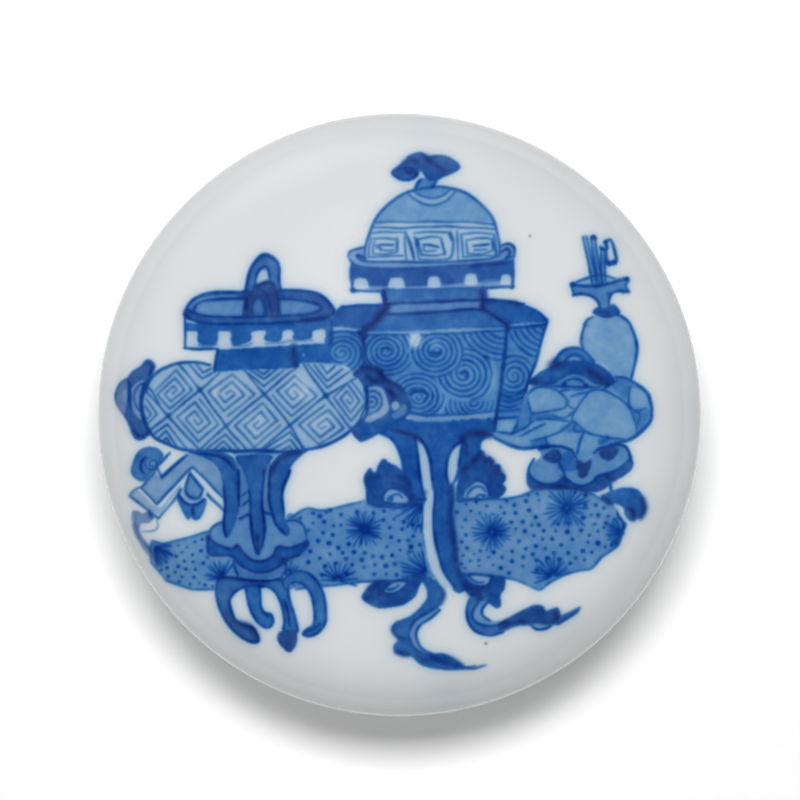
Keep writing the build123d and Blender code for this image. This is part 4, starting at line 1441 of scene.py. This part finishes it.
@dataclass
class Profile:
    """A half profile in millimetres: radius, height and how bare the porcelain is."""

    points: list[tuple[float, float, float]] = field(default_factory=list)

    def to(self, radius: float, height: float, bare: float = 0.0, steps: int = 1) -> "Profile":
        """Goes straight to a point, in one or more even steps."""
        from_radius, from_height = self.points[-1][:2] if self.points else (radius, height)
        for step in range(1, steps + 1):
            share = step / steps
            self.points.append((
                from_radius + (radius - from_radius) * share,
                from_height + (height - from_height) * share,
                bare,
            ))
        return self

    def arc(self, centre: Point, radii: Point, start: float, stop: float, steps: int,
            bare: float = 0.0) -> "Profile":
        """Adds a stretch of an ellipse.

        Args:
            centre: its centre's radius and height.
            radii: its half width and half height.
            start: the ellipse's angle where the stretch starts, in degrees.
            stop: the angle where it ends.
            steps: how many runs it is made of.
            bare: how bare the porcelain is there.

        Returns:
            The profile itself.
        """
        for angle in np.radians(np.linspace(start, stop, steps + 1)):
            self.points.append((
                centre[0] + radii[0] * math.cos(angle),
                centre[1] + radii[1] * math.sin(angle),
                bare,
            ))
        return self

    def turned(self, name: str, sides: int, body: str, material: bpy.types.Material,
               swell: Optional[np.ndarray] = None, lift: Optional[np.ndarray] = None) -> bpy.types.Object:
        """Turns the profile about Z.

        It starts and ends on the axis, and runs clockwise round the clay, so that the
        faces look outwards. A ring's points are (r cos t, r sin t, z).

        Args:
            name: the piece's name.
            sides: how many points a ring has.
            body: the body that the piece rides on.
            material: its material.
            swell: how much wider a ring is at each of its points, as a share.
            lift: how much higher each profile point is at each of its ring's points.

        Returns:
            The new object.
        """
        profile = np.array(self.points)
        gap = np.linalg.norm(np.diff(profile[:, :2], axis=0), axis=1)
        profile = profile[np.concatenate(([True], gap > 0.01))]
        turn = np.linspace(0.0, 2 * math.pi, sides, endpoint=False)
        radius = profile[:, :1] * (1.0 + (swell if swell is not None else np.zeros(sides)))
        height = profile[:, 1:2] + (lift(profile, turn) if lift is not None else np.zeros(sides))
        rings = np.stack((radius * np.cos(turn), radius * np.sin(turn), height), axis=2) * MM
        count = len(profile)
        index = np.arange(count * sides).reshape(count, sides)
        index[0] = index[0, 0]
        index[-1] = index[-1, 0]
        here = index[:-1]
        there = index[1:]
        faces = np.stack((np.roll(here, -1, 1), here, there, np.roll(there, -1, 1)), axis=2)
        faces[0, :, 0] = faces[0, :, 3]
        faces[0] = faces[0][:, (1, 2, 3, 3)]
        faces[-1] = faces[-1][:, (0, 1, 2, 2)]
        used, compact = np.unique(faces, return_inverse=True)
        return mesh_piece(
            name,
            rings.reshape(-1, 3)[used],
            compact.reshape(-1, 4),
            body,
            material,
            {"bare": np.repeat(profile[:, 2], sides)[used]},
        )


@dataclass
class Cover:
    """The domed cover, in millimetres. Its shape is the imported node's."""

    top: float = 38.0
    seam: float = 21.5
    widest: float = 48.0
    shoulder_reach: float = 13.0
    shoulder_depth: float = 10.0
    dome_tilt: float = 10.0
    wall: float = 3.8
    inner_shoulder: float = 6.5
    bore: float = 45.0
    bare_band: float = 1.1
    glaze: float = 0.15
    edge: float = 0.45
    glaze_fade: float = 0.35
    skin: float = 0.2
    sides: int = 384

    def __post_init__(self) -> None:
        """Works out where the shoulder's ellipse leans as the dome does, and the dome there."""
        tilt = math.radians(self.dome_tilt)
        turn = math.atan2(self.shoulder_depth, self.shoulder_reach * math.tan(tilt))
        self.shoulder_turn = math.degrees(turn)
        self.join_radius = self.widest - self.shoulder_reach * (1 - math.cos(turn))
        join_height = self.top - self.join_radius * math.tan(tilt / 2)
        self.side_top = join_height - self.shoulder_depth * math.sin(turn)
        self.dome_radius = self.join_radius / math.sin(tilt)
        self.dome_centre = self.top - self.dome_radius

    def height(self, radius: np.ndarray) -> np.ndarray:
        """The outer surface's height over a radius.

        On the dome it is the centre's height plus the root of the dome radius squared
        less the radius squared. On the shoulder it is the side's top plus the ellipse's
        half height times the root of 1 less the share of its half width squared.
        """
        dome = self.dome_centre + np.sqrt(self.dome_radius**2 - radius**2)
        share = np.clip((radius - self.widest) / self.shoulder_reach + 1.0, 0.0, 1.0)
        shoulder = self.side_top + self.shoulder_depth * np.sqrt(1.0 - share**2)
        return np.where(radius < self.join_radius, dome, shoulder)

    def tint(self, piece: bpy.types.Object, brush: Brushwork) -> None:
        """Gives the cover's outside the faint blue haze that firing spreads round the painting."""
        places = np.empty(3 * len(piece.data.vertices), np.float32)
        piece.data.vertices.foreach_get("co", places)
        x, y, z = places.reshape(-1, 3).T
        column, row = VIEW.pixel(x, y, z)
        column = np.clip(((column - brush.left) / brush.pitch).astype(int), 0, len(brush.xs) - 1)
        row = np.clip(((row - brush.top) / brush.pitch).astype(int), 0, len(brush.ys) - 1)
        outside = z > (self.height(np.hypot(x, y) / MM) - self.skin) * MM
        haze = np.where(outside, brush.haze[row, column], 0.0).astype(np.float32)
        piece.data.attributes.new("cobalt", "FLOAT", "POINT").data.foreach_set("value", haze)

    def build(self, material: bpy.types.Material, brush: Brushwork) -> bpy.types.Object:
        """Turns the cover, tints it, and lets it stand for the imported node."""
        bare_top = self.seam + self.bare_band
        bare_radius = self.widest - self.glaze
        edge = self.edge
        inner_dome = self.dome_radius - self.wall
        across = self.bore - self.inner_shoulder
        inner_turn = math.degrees(math.asin(across / (inner_dome - self.inner_shoulder)))
        inner_height = self.dome_centre + (inner_dome - self.inner_shoulder) * math.cos(
            math.radians(inner_turn))
        profile = Profile()
        profile.arc((0, self.dome_centre), (self.dome_radius,) * 2, 90, 90 - self.dome_tilt, 44)
        profile.arc((self.widest - self.shoulder_reach, self.side_top),
                    (self.shoulder_reach, self.shoulder_depth), self.shoulder_turn, 0, 36)
        profile.to(self.widest, bare_top + self.glaze_fade, 0.0, 3)
        profile.to(self.widest, bare_top, 0.45)
        profile.to(bare_radius, bare_top - 0.05, 0.8)
        profile.to(bare_radius, self.seam + edge, 1.0, 2)
        profile.arc((bare_radius - edge, self.seam + edge), (edge, edge), 0, -90, 5, 1.0)
        profile.to(self.bore + edge, self.seam, 1.0, 3)
        profile.arc((self.bore + edge, self.seam + edge), (edge, edge), -90, -180, 5, 1.0)
        profile.to(self.bore, bare_top + 0.3, 1.0, 2)
        profile.to(self.bore, bare_top + 0.8, 0.0)
        profile.arc((across, inner_height), (self.inner_shoulder,) * 2, 0, 90 - inner_turn, 16)
        profile.arc((0, self.dome_centre), (inner_dome,) * 2, 90 - inner_turn, 90, 30)
        piece = profile.turned("cover_porcelain", self.sides, "cover", material)
        self.tint(piece, brush)
        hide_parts("cover")
        return piece


@dataclass
class Base:
    """The footed base with its bare ledge and neck, in millimetres."""

    floor: float = 6.8
    flat_radius: float = 20.0
    well_wall: float = 42.4
    side_foot: float = 17.3
    lip: float = 26.3
    lip_edge: float = 0.85
    neck_lip: float = 44.35
    neck_root: float = 44.6
    root_fillet: float = 0.3
    seam: float = 21.5
    bare_radius: float = 47.85
    bare_foot: float = 20.4
    widest: float = 48.0
    edge: float = 0.45
    belly_reach: float = 25.143
    belly_depth: float = 14.8
    foot_radius: float = 30.5
    foot_top: float = 3.2
    foot_tip: float = 29.8
    foot_inner_tip: float = 27.6
    foot_inner: float = 26.9
    recess_edge: float = 2.7
    foot_edge: float = 0.7
    recess_round: float = 1.2
    glaze_fade: float = 0.35
    sides: int = 320
    unevenness: float = 0.0005
    seed: int = 11

    def build(self, material: bpy.types.Material) -> bpy.types.Object:
        """Turns the base, slightly out of round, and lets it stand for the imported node."""
        lip = self.lip_edge
        edge = self.edge
        seam = self.seam
        belly_turn = math.degrees(math.asin((self.side_foot - self.foot_top - 0.6) / self.belly_depth))
        profile = Profile()
        profile.to(0, self.floor).to(self.flat_radius, self.floor, 0.0, 10)
        profile.arc((self.flat_radius, self.side_foot),
                    (self.well_wall - self.flat_radius, self.side_foot - self.floor), -90, 0, 28)
        profile.to(self.well_wall, self.lip - lip - 0.8, 0.0, 4)
        profile.to(self.well_wall, self.lip - lip - 0.4, 0.5)
        profile.arc((self.well_wall + lip, self.lip - lip), (lip, lip), 180, 90, 6, 1.0)
        profile.arc((self.neck_lip - lip, self.lip - lip), (lip, lip), 90, 0, 6, 1.0)
        profile.to(self.neck_root, seam + self.root_fillet, 1.0, 4)
        profile.arc((self.neck_root + self.root_fillet, seam + self.root_fillet),
                    (self.root_fillet,) * 2, 180, 270, 4, 1.0)
        profile.to(self.bare_radius - edge, seam, 1.0, 3)
        profile.arc((self.bare_radius - edge, seam - edge), (edge, edge), 90, 0, 5, 1.0)
        profile.to(self.bare_radius, self.bare_foot + 0.05, 0.8)
        profile.to(self.widest, self.bare_foot, 0.45)
        profile.to(self.widest, self.bare_foot - self.glaze_fade, 0.0)
        profile.to(self.widest, self.side_foot, 0.0, 3)
        profile.arc((self.widest - self.belly_reach, self.side_foot),
                    (self.belly_reach, self.belly_depth), 0, -belly_turn, 30)
        profile.to(self.foot_radius, self.foot_top - 0.9, 0.0, 3)
        profile.to(self.foot_tip + 0.12, self.foot_edge + 0.5, 0.1, 2)
        profile.arc((self.foot_tip - self.foot_edge, self.foot_edge), (self.foot_edge,) * 2, 0, -90, 6, 1.0)
        profile.arc((self.foot_inner_tip + self.foot_edge, self.foot_edge),
                    (self.foot_edge,) * 2, -90, -180, 6, 1.0)
        profile.to(self.foot_inner + 0.25, self.recess_edge - 0.9, 0.05, 2)
        profile.arc((self.foot_inner - 1.0, self.recess_edge - 1.1), (self.recess_round,) * 2, 0, 84, 6)
        profile.to(0, self.foot_top, 0.0, 14)
        turn = np.linspace(0.0, 2 * math.pi, self.sides, endpoint=False)
        draw = np.random.default_rng(self.seed)
        swell = sum(draw.uniform(0.4, 1.0) / k * np.cos(k * turn + draw.uniform(0, 6.28)) for k in (2, 3, 5))
        piece = profile.turned("base_porcelain", self.sides, "base", material,
                               self.unevenness * swell)
        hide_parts("base")
        return piece


@dataclass
class PasteCake:
    """The cake of seal paste: kneaded into a mound, with the marks of the spatula."""

    floor: float = 6.8
    flat_radius: float = 20.0
    side_radii: Point = (22.2, 10.5)
    side_centre: float = 17.3
    edge_height: float = 16.3
    crown_radius: float = 39.6
    crown: float = 4.2
    fold: float = 0.55
    fold_pitch: float = 3.4
    fold_arms: int = 3
    fold_bend: float = 0.9
    fold_sharpness: float = 0.7
    fold_sink: float = 0.35
    calm_centre: float = 6.0
    calm_rim: float = 9.0
    lump: float = 0.1
    grain: float = 0.035
    sides: int = 300
    seed: int = 23

    def folds(self, profile: np.ndarray, turn: np.ndarray) -> np.ndarray:
        """The height that kneading adds: lumps, and folds that spiral out from the top.

        The folds are a sine of three times the angle less the radius over 3.4 mm, bent
        by slow waves, and both fade out over the outer few millimetres and below.
        """
        draw = np.random.default_rng(self.seed)
        radius = profile[:, :1]
        across = radius * np.cos(turn)
        along = radius * np.sin(turn)
        bend = sum(
            draw.uniform(0.5, 1.0) * np.sin(across * fx + along * fy + draw.uniform(0, 6.28))
            for fx, fy in draw.normal(0.0, 0.12, (5, 2))
        )
        lumps = sum(
            draw.uniform(0.4, 1.0) * np.sin(across * fx + along * fy + draw.uniform(0, 6.28))
            for fx, fy in draw.normal(0.0, 0.42, (16, 2))
        )
        grain = sum(
            np.sin(across * fx + along * fy + draw.uniform(0, 6.28))
            for fx, fy in draw.normal(0.0, 1.6, (14, 2))
        )
        ridge = np.sin(self.fold_arms * turn - radius / self.fold_pitch + self.fold_bend * bend)
        ridge = np.sign(ridge) * np.abs(ridge) ** self.fold_sharpness
        centre = np.clip(radius / self.calm_centre, 0.0, 1.0)
        rim = np.clip((self.crown_radius - radius) / self.calm_rim, 0.0, 1.0)
        top = profile[:, 1:2] > self.edge_height - 0.2
        kneaded = self.fold * ridge * centre - self.fold_sink + self.lump * lumps + self.grain * grain
        return kneaded * rim * top

    def build(self, material: bpy.types.Material) -> bpy.types.Object:
        """Builds the cake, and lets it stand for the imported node."""
        profile = Profile()
        for radius in np.linspace(0.0, self.crown_radius, 130):
            share = radius / (self.flat_radius + self.side_radii[0])
            profile.to(float(radius), self.edge_height + self.crown * (1 - share**2))
        top_radius, top_height = profile.points[-1][:2]
        side = Profile().arc((self.flat_radius, self.side_centre), self.side_radii, -8, -90, 24).points
        corner = (top_radius + 1.7, top_height - 0.35), side[0][:2]
        for share in np.linspace(0.1, 0.9, 7):
            ahead = (1 - share) ** 2
            middle = 2 * share * (1 - share)
            radius = ahead * top_radius + middle * corner[0][0] + share**2 * corner[1][0]
            height = ahead * top_height + middle * corner[0][1] + share**2 * corner[1][1]
            profile.to(radius, height)
        profile.points.extend(side)
        profile.to(0, self.floor, 0.0, 6)
        piece = profile.turned("paste_cake", self.sides, "base", material, None, self.folds)
        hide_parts("seal_paste")
        return piece


@dataclass
class Painting:
    """The cover's painting: a thin skin of stained glaze for each painted thing.

    A pixel's place on the dome is where the line of sight through it meets the dome.
    """

    faintest: float = 0.008
    spread_steps: int = 14
    thickness: float = 0.010
    edge_lift: float = 0.001
    full_at: float = 0.08
    first_height: float = 36.0
    sightings: int = 4

    def owners(self, brush: Brushwork) -> np.ndarray:
        """Lets each painted thing's samples grow over the faint halo round it."""
        owner = brush.owner.copy()
        for _ in range(self.spread_steps):
            for axis, step in ((0, 1), (0, -1), (1, 1), (1, -1)):
                owner = np.where(owner < 0, np.roll(owner, step, axis), owner)
        return owner

    def on_cover(self, brush: Brushwork, cover: Cover) -> np.ndarray:
        """Each sample's place on the cover, as rows by columns by 3, in metres."""
        pixel_x, pixel_y = np.meshgrid(brush.xs, brush.ys)
        height = np.full(pixel_x.shape, self.first_height)
        for _ in range(self.sightings):
            across, along = VIEW.place(pixel_x, pixel_y, height * MM)
            height = cover.height(np.hypot(across, along) / MM)
        lift = self.edge_lift + self.thickness * np.clip(brush.cobalt / self.full_at, 0.0, 1.0)
        return np.stack((across, along, (height + lift) * MM), axis=2)

    def build(self, brush: Brushwork, cover: Cover, material: bpy.types.Material) -> None:
        """Makes one piece of each painted thing's cells."""
        owner = self.owners(brush)
        stain = np.maximum(brush.cobalt, brush.iron)
        rows, columns = stain.shape
        cells = np.maximum.reduce((stain[:-1, :-1], stain[1:, :-1], stain[:-1, 1:], stain[1:, 1:]))
        painted = cells > self.faintest
        places = self.on_cover(brush, cover).reshape(-1, 3)
        index = np.arange(rows * columns).reshape(rows, columns)
        quads = np.stack((index[1:, :-1], index[1:, 1:], index[:-1, 1:], index[:-1, :-1]), axis=2)
        for number, name in enumerate(brush.names):
            own = painted & (owner[:-1, :-1] == number)
            faces = quads[own]
            if not len(faces):
                continue
            used, compact = np.unique(faces, return_inverse=True)
            points = places[used]
            low = points[:, :2].min(0)
            span = (points[:, :2].max(0) - low).max()
            mesh_piece(
                name,
                points,
                compact.reshape(-1, 4),
                "cover",
                material,
                {
                    "cobalt": (brush.cobalt + brush.haze).ravel()[used],
                    "violet": brush.violet.ravel()[used],
                    "iron": brush.iron.ravel()[used],
                },
                (points[:, :2] - low) / span,
            )


# The studio

@dataclass(frozen=True)
class Glow:
    """A soft brightening of the room round one direction."""

    lean: float
    turn: float
    width: float
    lit: float
    mirrored: float

    @property
    def direction(self) -> tuple[float, float, float]:
        """Its direction, from how far it leans from overhead and which way, in degrees."""
        lean = math.radians(self.lean)
        turn = math.radians(self.turn)
        return math.sin(lean) * math.cos(turn), math.sin(lean) * math.sin(turn), math.cos(lean)


@dataclass
class Studio:
    """A white table under one soft lamp, in a room that is palest at the upper left."""

    table_size: float = 4.0
    table_colour: float = 0.95
    table_grain: float = 0.01
    table_roughness: float = 0.9
    table_glow: float = 0.2
    fade_from: float = 0.35
    fade_to: float = 1.2
    lamp_distance: float = 1.2
    lamp_width: float = 0.4
    lamp_depth: float = 0.25
    lamp_lean: float = 14.0
    lamp_turn: float = 90.0
    lamp_power: float = 11.6
    room_light: float = 0.0
    room_colour: Colour = (0.975, 1.0, 0.965)
    room_mirrored: float = 0.05
    glows: tuple[Glow, ...] = (
        Glow(62.0, 112.0, 0.09, 0.0, 1.4),
        Glow(80.0, 182.0, 0.14, 0.65, 0.0),
        Glow(62.0, 298.0, 0.1, 0.45, 0.0),
    )

    def table(self) -> None:
        """Lays the table, white to the camera wherever no shadow falls.

        Far out, where the lamp is faint, its own glow takes over.
        """
        half = self.table_size / 2
        mesh = bpy.data.meshes.new("table")
        mesh.from_pydata([(-half, -half, 0), (half, -half, 0), (half, half, 0), (-half, half, 0)], [],
                         [(0, 1, 2, 3)])
        table = bpy.data.objects.new("table", mesh)
        bpy.context.collection.objects.link(table)
        material = bpy.data.materials.new("white_table")
        material.use_nodes = True
        tree = material.node_tree
        tree.nodes.clear()
        n = Nodes(tree)
        shader = n.add("BsdfPrincipled")
        fine = n.spread(n.noise(n.place(), 400.0, 2.0), 0.3, 0.7, -self.table_grain, self.table_grain)
        tone = n.math("ADD", fine, self.table_colour)
        colour = n.add("CombineColor")
        for socket in colour.inputs:
            n.feed(socket, tone)
        n.feed(shader.inputs["Base Color"], colour.outputs[0])
        shader.inputs["Roughness"].default_value = self.table_roughness
        shader.inputs["Specular IOR Level"].default_value = 0.0
        path = n.add("LightPath")
        seen = n.math("ADD", path.outputs["Is Camera Ray"], path.outputs["Is Glossy Ray"], clamp=True)
        seen = n.math("ADD", seen, path.outputs["Is Transmission Ray"], clamp=True)
        away = n.add("VectorMath", operation="LENGTH")
        n.feed(away.inputs[0], n.place())
        glow = n.spread(away.outputs["Value"], self.fade_from, self.fade_to, self.table_glow, 1.0)
        n.feed(shader.inputs["Emission Strength"], n.math("MULTIPLY", seen, glow))
        shader.inputs["Emission Color"].default_value = (1.0, 1.0, 1.0, 1.0)
        output = n.add("OutputMaterial")
        n.feed(output.inputs["Surface"], shader.outputs[0])
        mesh.materials.append(material)

    def lamp(self) -> None:
        """Hangs the soft lamp, which the glaze doesn't mirror."""
        data = bpy.data.lights.new("lamp", "AREA")
        data.shape = "RECTANGLE"
        data.size = self.lamp_width
        data.size_y = self.lamp_depth
        data.energy = self.lamp_power
        lamp = bpy.data.objects.new("lamp", data)
        away = Vector(Glow(self.lamp_lean, self.lamp_turn, 0.0, 0.0, 0.0).direction)
        lamp.location = away * self.lamp_distance
        lamp.rotation_euler = away.to_track_quat("Z", "Y").to_euler()
        lamp.visible_glossy = False
        bpy.context.collection.objects.link(lamp)

    def room(self) -> None:
        """Makes the room's light: even, with glows, and white where the camera sees it.

        A glow is e to the power of the cosine of the angle from its direction, less 1,
        over its width.
        """
        world = bpy.data.worlds.new("room")
        world.use_nodes = True
        tree = world.node_tree
        tree.nodes.clear()
        n = Nodes(tree)
        direction = n.add("TexCoord").outputs["Generated"]
        path = n.add("LightPath")
        lit: object = self.room_light
        mirrored: object = self.room_mirrored
        for glow in self.glows:
            dot = n.add("VectorMath", operation="DOT_PRODUCT")
            n.feed(dot.inputs[0], direction)
            dot.inputs[1].default_value = glow.direction
            off = n.math("SUBTRACT", dot.outputs["Value"], 1.0)
            near = n.math("EXPONENT", n.math("DIVIDE", off, glow.width))
            lit = n.math("MULTIPLY_ADD", near, glow.lit, lit)
            mirrored = n.math("MULTIPLY_ADD", near, glow.mirrored, mirrored)
        change = n.math("SUBTRACT", mirrored, lit)
        strength = n.math("MULTIPLY_ADD", change, path.outputs["Is Glossy Ray"], lit)
        room = n.add("Background")
        n.feed(room.inputs["Strength"], strength)
        seen = n.add("Background")
        mix = n.add("MixShader")
        n.feed(mix.inputs[0], path.outputs["Is Camera Ray"])
        n.feed(mix.inputs[1], room.outputs[0])
        n.feed(mix.inputs[2], seen.outputs[0])
        room.inputs["Color"].default_value = (*self.room_colour, 1.0)
        seen.inputs["Color"].default_value = (1.0, 1.0, 1.0, 1.0)
        output = n.add("OutputWorld")
        n.feed(output.inputs["Surface"], mix.outputs[0])
        bpy.context.scene.world = world

    def build(self) -> None:
        """Sets up the table, the lamp and the room."""
        self.table()
        self.lamp()
        self.room()
        bpy.context.scene.view_settings.view_transform = "Standard"


def main() -> None:
    """Builds the box, its painting and the studio, piece by piece."""
    VIEW.add_camera()
    brush = Brushwork()
    for paint in (
        paint_chime, paint_scroll_left, paint_scroll_right, paint_vase_lid, paint_vase_body, paint_leaves,
        paint_ribbons, paint_bottle, paint_burner, paint_censer, paint_censer_handles, paint_censer_legs,
        paint_specks,
    ):
        paint(brush)
    brush.fired()
    porcelain = Porcelain()
    cover = Cover()
    cover.build(porcelain.material("cover_glaze"), brush)
    Painting().build(brush, cover, porcelain.material("painted_glaze"))
    Base().build(porcelain.material("base_glaze"))
    PasteCake().build(CinnabarPaste().material("cinnabar_paste"))
    Studio().build()


if __name__ == "__main__":
    main()
